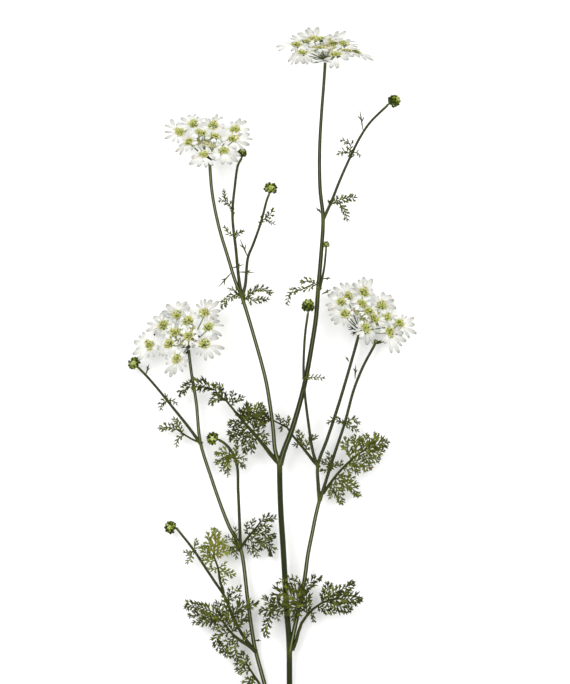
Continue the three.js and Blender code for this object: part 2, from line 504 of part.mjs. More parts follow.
function bladesSolid(blades) {
  return joined(blades.map(([halfWidth, ...points]) => blade(halfWidth, points)));
}

function frondSolid({ radii, stalk, blades }) {
  return rod(stalk, radii, stalk.length, 4).add(bladesSolid(blades));
}

// One umbellet: a ring of two-lobed petals round a low dome of small florets.
function umbelletSolid(centre, direction, outward, outerShare) {
  const petalEdge = outerShare > LOBED_SHARE ? LOBED_PETAL : PLAIN_PETAL;
  const spokes = petalEdge.length * PETALS;
  const profile = [[0, -2], [1, -0.5], [1, 0.5], [0, FLORET_HEIGHT]];
  const turned = new THREE.LatheGeometry(profile.map(([r, h]) => new THREE.Vector2(r, h)), spokes);
  reshaped(turned, ({ x, y, z }) => {
    const unit = Math.hypot(x, z);
    const turn = Math.atan2(z, x);
    const spoke = Math.round((turn / (2 * Math.PI)) * spokes + spokes) % petalEdge.length;
    const reach = PETAL_RADIUS + outerShare * PETAL_EXTRA * ((1 + Math.cos(turn)) / 2) ** 1.5;
    const edge = reach * petalEdge[spoke];
    const lift = 0.9 - 0.016 * edge ** 2;
    if (unit < 0.5) return new THREE.Vector3(0, y, 0);
    return new THREE.Vector3(Math.cos(turn) * edge, lift + y * PETAL_THICKNESS, Math.sin(turn) * edge);
  });
  return solidOf(turned.applyMatrix4(standing(centre, direction, outward)));
}

function headSolid({ base, facing, umbellets, bracts }) {
  const foot = vector(base);
  const axis = vector(facing).normalize();
  const middle = umbellets.reduce((sum, place) => sum.add(vector(place)), new THREE.Vector3())
    .divideScalar(umbellets.length);
  const pieces = [knot(base, 1.7)];
  umbellets.forEach((place) => {
    const centre = vector(place);
    const outward = centre.clone().sub(middle);
    outward.addScaledVector(axis, -outward.dot(axis));
    const outerShare = Math.min(1, outward.length() / HEAD_RADIUS);
    const direction = axis.clone().addScaledVector(outward.clone().normalize(), 0.45 * outerShare);
    const direct = centre.clone().sub(foot);
    const bow = foot.clone().addScaledVector(direct, 0.5).addScaledVector(outward, 0.08);
    const top = centre.clone().addScaledVector(direction.clone().normalize(), -1);
    pieces.push(rod([base, bow.toArray(), top.toArray()], [RAY_RADIUS * 1.2, RAY_RADIUS], 2, RAY_SIDES));
    pieces.push(umbelletSolid(centre, direction, outward, outerShare));
  });
  bracts.forEach((tip) => {
    const bend = foot.clone().lerp(vector(tip), 0.6).addScaledVector(axis, -0.8);
    pieces.push(rod([base, bend.toArray(), tip], [0.8, 0.35], 2, RAY_SIDES));
  });
  return joined(pieces);
}

// A closed bud: a round body of pressed bracts, whose tips stand round a hollow top.
function budSolid({ base, towards, radius, length, arms = [] }) {
  const profile = [[0, 0], [0.84, 0.22], [0.96, 0.68], [0.6, 1], [0, 0.8]];
  const turned = new THREE.LatheGeometry(profile.map(([r, h]) => new THREE.Vector2(r, h)), 2 * BUD_BRACTS);
  reshaped(turned, ({ x, y, z }) => {
    const turn = Math.atan2(z, x);
    const groove = Math.abs(Math.round((turn / Math.PI) * BUD_BRACTS)) % 2;
    const reach = Math.hypot(x, z) * radius * (groove ? 0.84 : 1);
    const height = y * length * (groove && y > 0.9 ? 0.82 : 1);
    return new THREE.Vector3(Math.cos(turn) * reach, height, Math.sin(turn) * reach);
  });
  const direction = vector(towards);
  const outward = new THREE.Vector3(-direction.y, direction.x, 0.2);
  const body = solidOf(turned.applyMatrix4(standing(vector(base), direction, outward)));
  const middle = vector(base).addScaledVector(direction, length * 0.3);
  return joined([body, ...arms.map((tip) => rod([middle.toArray(), tip], [1, 0.4], 2, RAY_SIDES))]);
}

// ---------------------------------------------------------------- assembly

const stem = stemSolid(0);
const roomForStem = stemSolid(GAP);
const table = solidOf(new THREE.BoxGeometry(1000, 1000, 100).translate(0, 0, -50));

const flower = new THREE.Group();
flower.position.set(...CENTRING);

// What grows on the stem is cut back to a small gap round it, and nothing reaches below the table.
function addPart(name, solid, material) {
  const clear = solid.subtract(roomForStem).subtract(table);
  flower.add(meshOf(name, largestBody(clear), material));
}

flower.add(meshOf('stem', stem.subtract(table), stemGreen));
Object.entries(HEADS).forEach(([name, head]) => addPart(name, headSolid(head), petalWhite));
Object.entries(BUDS).forEach(([name, bud]) => addPart(name, budSolid(bud), budGreen));
Object.entries(FRONDS).forEach(([name, frond]) => addPart(name, frondSolid(frond), leafGreen));
Object.entries(SMALL_LEAVES).forEach(([name, leaf]) => addPart(name, bladesSolid(leaf), leafGreen));

export default flower;
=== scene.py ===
# %% [markdown]
# # A cut stem of white laceflower
# The real plant, which florists sell as Queen Anne's lace, is one branching ribbed stem with four open
# flower heads, nine closed buds and finely cut leaves. It lies on a table and is seen from above.
# The frame holds its solids at their real size and place. Each of them is replaced here by finer pieces
# that keep its form: a leaf by hundreds of narrow lobes, a head by florets with two-lobed petals.

# %% Load the frame
import math
import random

import bmesh
import bpy
import numpy as np
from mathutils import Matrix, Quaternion, Vector


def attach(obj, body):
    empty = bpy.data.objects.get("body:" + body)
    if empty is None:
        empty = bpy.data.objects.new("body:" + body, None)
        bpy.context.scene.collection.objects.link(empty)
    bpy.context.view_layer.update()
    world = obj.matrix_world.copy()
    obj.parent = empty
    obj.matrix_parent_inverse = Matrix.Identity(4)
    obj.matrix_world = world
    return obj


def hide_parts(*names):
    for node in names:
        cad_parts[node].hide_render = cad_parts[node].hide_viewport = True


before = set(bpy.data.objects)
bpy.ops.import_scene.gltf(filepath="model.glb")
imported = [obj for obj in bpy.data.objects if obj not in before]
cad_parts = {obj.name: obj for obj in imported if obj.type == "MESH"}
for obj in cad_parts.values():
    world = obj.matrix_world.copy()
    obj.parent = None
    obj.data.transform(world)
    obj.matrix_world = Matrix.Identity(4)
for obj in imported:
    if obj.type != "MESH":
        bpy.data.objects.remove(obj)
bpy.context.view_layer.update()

# %% [markdown]
# ## Places
# The tables below give places in millimetres, as the solids were planned. One function turns such a place
# into the frame's metres, where the origin is under the middle of the whole plant.

# %% Units and places
MM = 0.001
CENTRING = Vector((6.1, 1.6, 0.0))
UP = Vector((0.0, 0.0, 1.0))


def place(point):
    """A place of the tables, in millimetres, as a place in the frame, in metres."""
    return (Vector(point) + CENTRING) * MM


# %% [markdown]
# ## Camera
# The plant lies on the table, so the camera hangs above it and looks straight down. A long lens from
# three metres away shows the plant nearly without perspective, as a picture of a flat lay does.

# %% Camera
LENS = 200.0  # mm
SENSOR = 36.0  # mm, along the picture's long side
VISIBLE_HEIGHT = 547.0  # mm of the table, from the lower edge of the picture to its upper one
FOCUS = (10.4, 62.4, 20.0)  # mm, the middle of the picture

camera_data = bpy.data.cameras.new("camera")
camera_data.lens = LENS
camera_data.sensor_width = SENSOR
camera_data.clip_end = 20.0
camera = bpy.data.objects.new("camera", camera_data)
camera.location = place(FOCUS) + UP * (VISIBLE_HEIGHT * MM * LENS / SENSOR)
bpy.context.collection.objects.link(camera)
bpy.context.scene.camera = camera
print("camera at", tuple(round(v, 3) for v in camera.location))

# %% [markdown]
# ## Colours and nodes
# Colours are picked as sRGB hex values, which one function turns to the linear values that Blender
# calculates with. One small function adds a shader node with its settings and links.


# %% Colour and node helpers
def linear(hex_colour):
    """An sRGB hex colour as linear RGBA."""
    channels = [int(hex_colour[i : i + 2], 16) / 255 for i in (1, 3, 5)]
    return (*[c / 12.92 if c <= 0.04045 else ((c + 0.055) / 1.055) ** 2.4 for c in channels], 1.0)


def add_node(tree, kind, settings, inputs):
    """Adds a node. Each input, by name or number, takes a value or another node's output."""
    made = tree.nodes.new(kind)
    for key, value in settings.items():
        setattr(made, key, value)
    for key, value in inputs.items():
        if isinstance(value, bpy.types.NodeSocket):
            tree.links.new(value, made.inputs[key])
        else:
            made.inputs[key].default_value = value
    return made


# Numbers of the Mix node's colour sockets, which share their names with its other kinds of socket.
FACTOR, FIRST, SECOND, MIXED = 0, 6, 7, 2


def shifted(tree, colour, towards, value, low=0.0, high=1.0):
    """The colour, moved towards another one as the value goes from low to high."""
    share = add_node(tree, "ShaderNodeMapRange", {}, {"Value": value, "From Min": low, "From Max": high})
    mixed = add_node(tree, "ShaderNodeMix", {"data_type": "RGBA"},
                     {FACTOR: share.outputs["Result"], FIRST: colour, SECOND: linear(towards)})
    return mixed.outputs[MIXED]


print("linear mid grey:", round(linear("#808080")[0], 3))

# %% [markdown]
# ## Plant finishes
# Fresh plant tissue is a smooth wax-covered skin over wet cells: IOR about 1.4, satin rather than glossy.
# Every piece carries four values on its vertices, which the finishes read: how far along its lobe or petal
# a place is, how far across, a mark for veins, petal rims and a painted highlight along the top of stalks,
# and a tone that differs from lobe to lobe.


# %% The shared parts of a plant finish
CARRIED = ("along", "across", "mark", "tone")
BLOOM = 0.16  # 0.5 would be bare wax: the rest of its shine is scattered by fine bloom and hairs


def new_finish(name):
    """An empty node material: the material, its tree and the values that the vertices carry."""
    material = bpy.data.materials.new(name)
    material.use_nodes = True
    tree = material.node_tree
    tree.nodes.clear()
    carried = {key: add_node(tree, "ShaderNodeAttribute", {"attribute_name": key}, {}).outputs["Fac"]
               for key in CARRIED}
    return material, tree, carried


def mottle(tree, size_mm, stretch=1.0):
    """Soft mottling with spots of about this size, drawn out along the plant by the stretch."""
    spot = 1 / (size_mm * MM)
    where = add_node(tree, "ShaderNodeTexCoord", {}, {}).outputs["Object"]
    scaled = add_node(tree, "ShaderNodeMapping", {},
                      {"Vector": where, "Scale": (spot, spot / stretch, spot)}).outputs["Vector"]
    noise = add_node(tree, "ShaderNodeTexNoise", {}, {"Vector": scaled, "Scale": 1.0, "Detail": 3.0})
    return noise.outputs["Fac"]


def finish_skin(tree, colour, relief, depth_mm, roughness, ior=1.42, subsurface=0.0):
    """Ends a plant finish: the skin's shader, with a fine relief."""
    bump = add_node(tree, "ShaderNodeBump", {},
                    {"Height": relief, "Strength": 0.5, "Distance": depth_mm * MM}).outputs["Normal"]
    skin = add_node(tree, "ShaderNodeBsdfPrincipled", {},
                    {"Base Color": colour, "Normal": bump, "Roughness": roughness, "IOR": ior,
                     "Specular IOR Level": BLOOM, "Subsurface Weight": subsurface,
                     "Subsurface Scale": 0.6 * MM})
    add_node(tree, "ShaderNodeOutputMaterial", {}, {"Surface": skin.outputs["BSDF"]})


print("plant finishes read:", ", ".join(CARRIED))

# %% [markdown]
# The stem's skin is dark green, with a painted highlight along its upper side: a greyish-pale stripe for
# the sheen of the soft light from above. It is yellowish green at the joints, which are the plant's
# youngest tissue.

# %% Stem finish
stem_finish, tree, carried = new_finish("ribbed green stem")
streaks = mottle(tree, 1.1, 14.0)
stem_colour = shifted(tree, linear("#0F1602"), "#2A3308", streaks)
# painted highlight: the stalk's marked upper and lower sides turn greyish pale
stem_colour = shifted(tree, stem_colour, "#92966E", carried["mark"], 0.68, 1.02)
stem_colour = shifted(tree, stem_colour, "#4E541C", carried["tone"], 0.0, 1.5)
finish_skin(tree, stem_colour, streaks, 0.15, 0.42)

# The cut end shows pale wet pith inside the green rind.
pith_finish, tree, carried = new_finish("cut pith")
pith = mottle(tree, 0.5)
pith_colour = shifted(tree, linear("#D2D7AE"), "#6F7F3C", carried["along"], 0.7, 0.9)
pith_colour = shifted(tree, pith_colour, "#B9C08C", pith, 0.3, 0.7)
finish_skin(tree, pith_colour, pith, 0.1, 0.5, subsurface=0.2)
print("finishes:", stem_finish.name, "and", pith_finish.name)

# %% [markdown]
# A leaf lobe is dark green and matt, and lighter along its middle. Lobes differ in tone: young ones are
# yellower, and wilted ones brown. The rays, the twigs inside a head and the bracts are a fresher green.

# %% Leaf and ray finishes
leaf_finish, tree, carried = new_finish("matt leaf")
cells = mottle(tree, 0.7)
leaf_colour = shifted(tree, linear("#0B0F01"), "#191F03", mottle(tree, 9.0), 0.3, 0.7)
leaf_colour = shifted(tree, leaf_colour, "#7A8228", carried["tone"])
leaf_colour = shifted(tree, leaf_colour, "#5C4A20", carried["tone"], 1.1, 1.5)
# lighter along a lobe's middle; on the stalks and ribs the same mark paints a highlight along their tops
leaf_colour = shifted(tree, leaf_colour, "#687022", carried["mark"], 0.3, 2.3)
finish_skin(tree, leaf_colour, cells, 0.12, 0.55)

ray_finish, tree, carried = new_finish("fresh green ray")
ray_colour = shifted(tree, linear("#2A3A0C"), "#A4AE7C", carried["along"])
ray_colour = shifted(tree, ray_colour, "#141F06", carried["tone"], 1.0, 0.0)
finish_skin(tree, ray_colour, mottle(tree, 0.8), 0.1, 0.5)
print("finishes:", leaf_finish.name, "and", ray_finish.name)

# %% [markdown]
# A petal is a film of cells with air between them, which scatters light as paper does. It is white at its
# foot, where its folds lie over each other, and greyer towards its thin tip and rim. Fine veins fan out
# along it. The small petals in the middle of a head are cream, because the yellow heart shows through.

# %% Petal finishes
VEINS = 4  # on each side of a petal lobe's middle


def petal_colours(tree, carried, foot, tip, rim):
    """A petal's colour and its veins, from foot to tip and darker at the rim."""
    fan = add_node(tree, "ShaderNodeMath", {"operation": "MULTIPLY"},
                   {0: carried["across"], 1: 4 * math.pi * VEINS})
    veins = add_node(tree, "ShaderNodeMath", {"operation": "COSINE"}, {0: fan.outputs[0]}).outputs[0]
    colour = shifted(tree, linear(foot), tip, carried["along"], 0.35, 0.95)
    colour = shifted(tree, colour, rim, carried["tone"], -0.2, 1.9)
    colour = shifted(tree, colour, foot, mottle(tree, 2.2), 0.18, 1.5)
    colour = shifted(tree, colour, rim, veins, 0.0, 5.0)
    return shifted(tree, colour, rim, carried["mark"], 0.6, 1.2), veins


petal_finish, tree, carried = new_finish("thin white petal")
petal_colour, veins = petal_colours(tree, carried, "#F2F2EC", "#A2A59E", "#767A72")
finish_skin(tree, petal_colour, veins, 0.12, 0.6, 1.38, 0.1)

cream_finish, tree, carried = new_finish("small cream petal")
petal_colour, veins = petal_colours(tree, carried, "#D8DA86", "#ECEBD2", "#8E8A58")
finish_skin(tree, petal_colour, veins, 0.1, 0.6, 1.38, 0.1)
print("finishes:", petal_finish.name, "and", cream_finish.name)

# %% [markdown]
# The heart of a floret is its nectar cushion on a bristly green ovary, moist and yellow-green. A bud's
# bracts are dark green, and its florets are paler, up to cream. Anthers are dusty with pale pollen.

# %% Heart, bud and anther finishes
heart_finish, tree, carried = new_finish("yellow-green nectar cushion")
grains = mottle(tree, 0.5)
heart_colour = shifted(tree, linear("#73820C"), "#B4BC40", grains, 0.3, 0.7)
heart_colour = shifted(tree, heart_colour, "#2C3E06", carried["tone"])
heart_colour = shifted(tree, heart_colour, "#1E0C18", carried["tone"], 1.5, 1.6)
finish_skin(tree, heart_colour, grains, 0.15, 0.4, subsurface=0.1)

bud_finish, tree, carried = new_finish("pressed green bract")
ribbing = mottle(tree, 0.9)
bud_colour = shifted(tree, linear("#1C2803"), "#3A480A", ribbing, 0.3, 0.7)
bud_colour = shifted(tree, bud_colour, "#7C8A1E", carried["tone"], 0.0, 0.5)
bud_colour = shifted(tree, bud_colour, "#D2D8A0", carried["tone"], 0.5, 1.0)
finish_skin(tree, bud_colour, ribbing, 0.15, 0.5)

anther_finish, tree, carried = new_finish("dusty anther")
pollen = mottle(tree, 0.3)
finish_skin(tree, shifted(tree, linear("#E9E6C4"), "#CFC98E", pollen), pollen, 0.05, 0.8)
print("finishes:", heart_finish.name, bud_finish.name, anther_finish.name)

# %% [markdown]
# ## Growing a piece from copies
# A leaf lobe, a petal or a floret's heart is modelled once, with Blender's own operators, and then copied
# hundreds of times. The model lies along X from 0 to 1, so a copy only needs a root, a direction and a
# size. Copies are gathered as plain numbers, because joining thousands of objects would take minutes.


# %% Modelling by hand, in code
def deselect_all():
    """Leaves edit mode and lets go of everything, so that an operator acts only on what comes next."""
    if bpy.context.mode != "OBJECT":
        bpy.ops.object.mode_set(mode="OBJECT")
    bpy.ops.object.select_all(action="DESELECT")


CLOSE = 0.001  # places of a pattern that are nearer than this are level with each other


def select_places(test):
    """In edit mode, selects the vertices whose place passes the test."""
    shape = bmesh.from_edit_mesh(bpy.context.object.data)
    for vertex in shape.verts:
        vertex.select = test(vertex.co)
    shape.select_flush_mode()
    bmesh.update_edit_mesh(bpy.context.object.data)


def taken_as_pattern(mark):
    """Turns the active object into a pattern: its places, its faces and a mark for each place."""
    model = bpy.context.object
    places = np.array([vertex.co for vertex in model.data.vertices])
    faces = [tuple(face.vertices) for face in model.data.polygons]
    marks = np.array([mark(vertex.co) for vertex in model.data.vertices])
    bpy.data.objects.remove(model)
    return {"places": places, "faces": faces, "marks": marks}


def strip_pattern(rows, widths, dip, notch, thickness, mark):
    """A leaf-like strip along X with these widths, a sunk middle line and a notch in its tip."""
    deselect_all()
    bpy.ops.mesh.primitive_grid_add(x_subdivisions=len(widths) - 1, y_subdivisions=rows, size=1)
    strip = bpy.context.object
    bpy.ops.object.mode_set(mode="EDIT")
    bpy.ops.transform.translate(value=(0.5, 0, 0))
    columns = sorted({round(vertex.co.x, 4) for vertex in bmesh.from_edit_mesh(strip.data).verts})
    for column, width in zip(columns, widths):
        select_places(lambda co: abs(co.x - column) < CLOSE)
        bpy.ops.transform.resize(value=(1, width, 1), center_override=(0, 0, 0))
    select_places(lambda co: abs(co.y) < CLOSE)
    bpy.ops.transform.translate(value=(0, 0, -dip))
    select_places(lambda co: abs(co.y) < CLOSE and co.x > 1 - CLOSE)
    bpy.ops.transform.translate(value=(-notch, 0, 0))
    bpy.ops.object.mode_set(mode="OBJECT")
    wall = strip.modifiers.new("thickness", "SOLIDIFY")
    wall.thickness = thickness
    wall.offset = 0
    bpy.ops.object.modifier_apply(modifier=wall.name)
    return taken_as_pattern(mark)


print("patterns lie along X, from 0 to 1")

# %% Lobe and petal patterns
leaf_lobe = strip_pattern(2, [0.3, 0.7, 0.95, 1.0, 0.85, 0.5, 0.03], 0.12, 0.0, 0.16,
                          lambda co: 1 - min(1, 2.6 * abs(co.y)))
LOBE_WIDTHS = [0.16, 0.26, 0.52, 0.86, 1.0, 0.9, 0.4]


def rim_share(co):
    """0 along the middle of a petal's lobe, and 1 at its rim and tip."""
    half = 0.5 * np.interp(co.x, np.linspace(0, 1, len(LOBE_WIDTHS)), LOBE_WIDTHS)
    return max(0.8 * abs(co.y) / half, co.x**3)


petal_lobe = strip_pattern(4, LOBE_WIDTHS, 0.07, 0.0, 0.04, rim_share)
small_petal = strip_pattern(2, [0.3, 0.9, 0.8], 0.1, 0.25, 0.08, lambda co: co.x)
print("leaf lobe:", len(leaf_lobe["faces"]), "faces, petal lobe:", len(petal_lobe["faces"]), "faces")


# %% Heart, bead and stalk patterns
def bead_pattern(fineness, stretch):
    """A round bead, from x = 0 to 1."""
    deselect_all()
    bpy.ops.mesh.primitive_ico_sphere_add(subdivisions=fineness, radius=0.5)
    bpy.ops.object.mode_set(mode="EDIT")
    bpy.ops.transform.resize(value=(1, stretch, stretch), center_override=(0, 0, 0))
    bpy.ops.transform.translate(value=(0.5, 0, 0))
    bpy.ops.object.mode_set(mode="OBJECT")
    return taken_as_pattern(lambda co: co.x)


def stalk_pattern(sides, segments, rib_depth):
    """A straight stalk of radius 1 along X. Every other edge of it sinks by the rib depth. Its upper and
    lower sides are marked, which the stem and leaf finishes turn into a painted highlight along its top."""
    deselect_all()
    bpy.ops.mesh.primitive_cylinder_add(vertices=sides, radius=1, depth=1, rotation=(0, math.pi / 2, 0))
    bpy.ops.object.transform_apply(location=False, rotation=True, scale=False)
    stalk = bpy.context.object
    bpy.ops.object.mode_set(mode="EDIT")
    bpy.ops.transform.translate(value=(0.5, 0, 0))
    if rib_depth:
        furrow = 4 * math.pi / sides
        select_places(lambda co: abs((math.atan2(co.y, co.z) / furrow) % 1 - 0.5) < 0.1)
        bpy.ops.transform.resize(value=(1, 1 - rib_depth, 1 - rib_depth), center_override=(0.5, 0, 0))
    for k in range(1, segments):
        bpy.ops.mesh.select_all(action="SELECT")
        bpy.ops.mesh.bisect(plane_co=(k / segments, 0, 0), plane_no=(1, 0, 0))
    bpy.ops.object.mode_set(mode="OBJECT")
    print("stalk:", sides, "sides,", len(stalk.data.polygons), "faces")
    # the mark for the painted highlight: 1 on the upper and lower sides, 0 on the flanks
    return taken_as_pattern(lambda co: max(0, math.cos(2 * math.atan2(co.y, co.z))))


heart = bead_pattern(2, 1.0)
bead = bead_pattern(1, 1.0)
ribbed_stalk = stalk_pattern(16, 56, 0.16)
plain_stalk = stalk_pattern(6, 8, 0)
hair_stalk = stalk_pattern(4, 3, 0)


# %% Growing
CUSHION = 0.3  # mm, how softly the plant is pressed against the table


def new_growth():
    """An empty piece, to which copies are added."""
    return {"places": [], "faces": [], "count": 0, **{key: [] for key in CARRIED}}


def add_copy(growth, pattern, places, tone):
    """Adds the pattern's faces, with its vertices at these places."""
    start = growth["count"]
    growth["places"].append(places)
    growth["faces"].extend(tuple(corner + start for corner in face) for face in pattern["faces"])
    growth["along"].append(pattern["places"][:, 0])
    growth["across"].append(pattern["places"][:, 1])
    growth["mark"].append(pattern["marks"])
    growth["tone"].append(np.full(len(places), tone))
    growth["count"] += len(places)


def stick_out(growth, pattern, root, forward, up, length, width, curl=0.0, tone=0.5):
    """A copy that starts at its root and points forward. It curls up along its length, or down if
    the curl is negative."""
    forward = forward.normalized()
    side = up.cross(forward).normalized()
    lift = forward.cross(side)
    x, y, z = pattern["places"].T
    local = np.stack([x * length, y * width, z * width + curl * length * x**2], axis=1)
    add_copy(growth, pattern, local @ np.array([forward, side, lift]) + np.array(root), tone)


def resting(places):
    """The places, with those that would sink into the table pressed flat on it."""
    height = places[:, 2]
    pressed = (height + np.sqrt(height**2 + (2 * CUSHION * MM) ** 2)) / 2
    return np.stack([places[:, 0], places[:, 1], pressed], axis=1)


def grown(growth, name, node, material):
    """Makes the piece's mesh, hangs it on the root body and hides the solid that it replaces."""
    mesh = bpy.data.meshes.new(name)
    mesh.from_pydata(resting(np.concatenate(growth["places"])).tolist(), [], growth["faces"])
    for key in CARRIED:
        mesh.attributes.new(key, "FLOAT", "POINT").data.foreach_set("value", np.concatenate(growth[key]))
    mesh.materials.append(material)
    piece = bpy.data.objects.new(name, mesh)
    bpy.context.collection.objects.link(piece)
    deselect_all()
    bpy.context.view_layer.objects.active = piece
    piece.select_set(True)
    bpy.ops.object.shade_smooth_by_angle(angle=math.radians(50))
    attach(piece, "root")
    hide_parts(node)
    print(name, len(mesh.polygons), "faces")
    return piece


# %% [markdown]
# ## Routes
# A stem or a leaf's rib runs smoothly through its points. The curve is a centripetal Catmull-Rom spline,
# because it passes through every point and never loops between two close ones.


# %% Routes
FINE_STEPS = 10  # between two points of a route


def route_through(points, steps):
    """Places at even steps along the smooth line through the points, in metres."""
    knots = [place(point) for point in points]
    knots = [2 * knots[0] - knots[1], *knots, 2 * knots[-1] - knots[-2]]
    fine = []
    for a, b, c, d in zip(knots, knots[1:], knots[2:], knots[3:]):
        t1 = (b - a).length ** 0.5
        t2 = t1 + (c - b).length ** 0.5
        t3 = t2 + (d - c).length ** 0.5
        for k in range(FINE_STEPS):
            t = t1 + (t2 - t1) * k / FINE_STEPS
            ab, bc, cd = a.lerp(b, t / t1), b.lerp(c, (t - t1) / (t2 - t1)), c.lerp(d, (t - t2) / (t3 - t2))
            fine.append(ab.lerp(bc, t / t2).lerp(bc.lerp(cd, (t - t1) / (t3 - t1)), (t - t1) / (t2 - t1)))
    fine = np.array([*fine, knots[-2]])
    lengths = np.concatenate([[0], np.cumsum(np.linalg.norm(np.diff(fine, axis=0), axis=1))])
    even = np.linspace(0, lengths[-1], steps + 1)
    return np.stack([np.interp(even, lengths, fine[:, axis]) for axis in range(3)], axis=1)


def route_length(route):
    """Length of a route, in metres."""
    return float(np.linalg.norm(np.diff(route, axis=0), axis=1).sum())


def at(route, share):
    """The place and the direction at this share of a route."""
    steps = len(route) - 1
    k = min(int(share * steps), steps - 1)
    step = route[k + 1] - route[k]
    return Vector(route[k] + step * (share * steps - k)), Vector(step).normalized()


def lay_along(growth, pattern, route, radius_at, tone=0.5):
    """A copy of a straight pattern, laid along a route. radius_at gives its radius at each share."""
    x, y, z = pattern["places"].T
    steps = len(route) - 1
    chord = Vector(route[-1] - route[0])
    level = UP if chord.normalized().cross(UP).length > 0.3 else Vector((1.0, 0.0, 0.0))
    headings = np.gradient(route, axis=0)
    sides = np.cross(headings, np.array(level))
    sides /= np.linalg.norm(sides, axis=1)[:, None]
    lifts = np.cross(sides, headings)
    lifts /= np.linalg.norm(lifts, axis=1)[:, None]
    shares = np.linspace(0, 1, steps + 1)
    x = np.clip(x, 0, 1)
    centre, side, lift = (
        np.stack([np.interp(x, shares, column[:, axis]) for axis in range(3)], axis=1)
        for column in (route, sides, lifts))
    radius = radius_at(x)
    add_copy(growth, pattern, centre - side * (y * radius)[:, None] + lift * (z * radius)[:, None], tone)


rough_stem = route_through([(14, -311, 2), (14, -211, 7), (6, -33, 15)], 20)
print("main stem is", round(route_length(rough_stem), 3), "m")

# %% [markdown]
# ## The stem
# The stem and its branches are ribbed rods: one straight ribbed stalk is copied and bent along each route.
# A branch is thicker at its foot, where it grows out of a joint. The name, the radii of the two ends and
# the route of each branch follow.

# %% Branches of the stem
STEMS = (
    ("main stem", 2.25, 2.1, ((14, -311, 2), (14, -276, 4), (14, -211, 7), (13.6, -176, 8.5),
        (12, -156, 9.5), (10.4, -128, 11), (8.8, -100, 12), (7.2, -76, 13), (6.4, -56, 14),
        (6, -33, 15))),
    ("leader to flower head 1", 2.1, 1.1, ((6, -36, 15), (10.4, -22, 15.6), (15.2, -10, 16),
        (24, 20, 18), (28, 38, 19.5), (31.2, 56, 20.5), (35.2, 82, 22), (36.8, 104, 23),
        (39.2, 132, 24), (40.8, 162, 25.5), (38.4, 184, 27), (38, 216, 28.5), (39.2, 240, 30),
        (41.6, 272, 32), (42.4, 285, 33))),
    ("upper left branch to flower head 2", 1.5, 1.2, ((6, -36, 15), (2.4, -24, 16), (1, -8, 17),
        (-1, 8, 17.5), (-5, 32, 18), (-13.6, 64, 18.5), (-24, 98, 18.5), (-29, 110, 18),
        (-35.2, 130, 17), (-42.4, 154, 16), (-48, 182, 15), (-50, 206, 14.5))),
    ("twig to bud 2", 1.2, 0.9, ((-24, 98, 18.5), (-26.4, 112, 19), (-28.8, 136, 20), (-31.6, 164, 20),
        (-29.6, 188, 19), (-27.2, 204, 18), (-24.6, 209, 17.6))),
    ("twig to bud 3", 1.1, 0.9, ((-24, 98, 18.5), (-21.4, 108, 19.4), (-19.2, 130, 21),
        (-15.2, 140, 22), (-8.8, 158, 24), (-4, 176, 26), (-2.4, 180, 26.4))),
    ("twig to bud 1", 1.1, 0.9, ((40.8, 160, 25.5), (47.2, 174, 24), (54.4, 192, 22), (62.4, 210, 20),
        (70.4, 226, 19), (78.4, 238, 18), (92.6, 252, 17))),
    ("twig to bud 8", 0.9, 0.8, ((38, 104, 23), (41.6, 121, 26), (43.2, 136.6, 28.4))),
    ("right branch", 1.7, 1.4, ((14.2, -186, 8), (18.4, -166, 9), (22.4, -148, 9.5), (26.4, -126, 10),
        (28.8, -108, 10.5), (32, -92, 11), (35.2, -76, 11.5), (38.4, -63, 12))),
    ("its left arm, to flower head 4", 1.3, 1.1, ((38.2, -65, 12), (37, -52, 12.3), (36.8, -36, 12.8),
        (44, -16, 12.5), (53.6, 13, 12), (64, 48, 10), (70, 69.5, 8))),
    ("its right arm, to bud 9", 1.2, 1, ((38.2, -65, 12), (44.8, -44, 11.5), (51.2, -24, 11),
        (58.4, -2.4, 10.5), (65.6, 24, 9), (72.8, 42, 7.5), (82.6, 60.4, 6))),
    ("twig to bud 4", 1.1, 0.9, ((36.8, -38, 12.8), (32.8, -25.6, 14), (28.8, 0, 18), (26.2, 22, 22.6),
        (25.2, 40, 24.5), (26.4, 68, 25.5), (28.6, 84.6, 26))),
    ("left stem to flower head 3", 1.7, 1.1, ((14, -278, 4), (7.2, -258, 3.6), (0, -236, 4),
        (-6.4, -211, 5), (-13.6, -184, 6.5), (-16.4, -168, 7), (-19.6, -144, 7.5), (-25.6, -102, 8.5),
        (-32.8, -89, 9.2), (-38.4, -76, 9.5), (-49.6, -44, 10.3), (-57.6, -17.6, 10.5), (-60.8, 14, 10),
        (-64.8, 38, 8.5), (-67, 56, 7))),
    ("twig to bud 5", 1.2, 1, ((-25.4, -104, 8.5), (-26, -84, 9.5), (-27.2, -56, 11), (-28, -37, 12),
        (-32, -26, 13), (-37.6, -19.2, 14), (-42.4, -16, 14.6))),
    ("twig to bud 6", 1.1, 0.9, ((-57.4, -19, 10.5), (-67.2, -5.6, 11), (-80, 10.4, 11.5),
        (-89.6, 22.4, 11.5), (-100, 34.4, 10.5), (-107, 41.6, 9.6))),
    ("twig to bud 7", 1.2, 0.9, ((-13.4, -186, 6.4), (-23.2, -173.6, 7.5), (-31.2, -158.4, 9),
        (-38.4, -141, 10), (-45.6, -130.4, 10.5), (-53.6, -118.4, 10.5), (-63.2, -104, 9.8),
        (-76.4, -87.4, 9))),
)

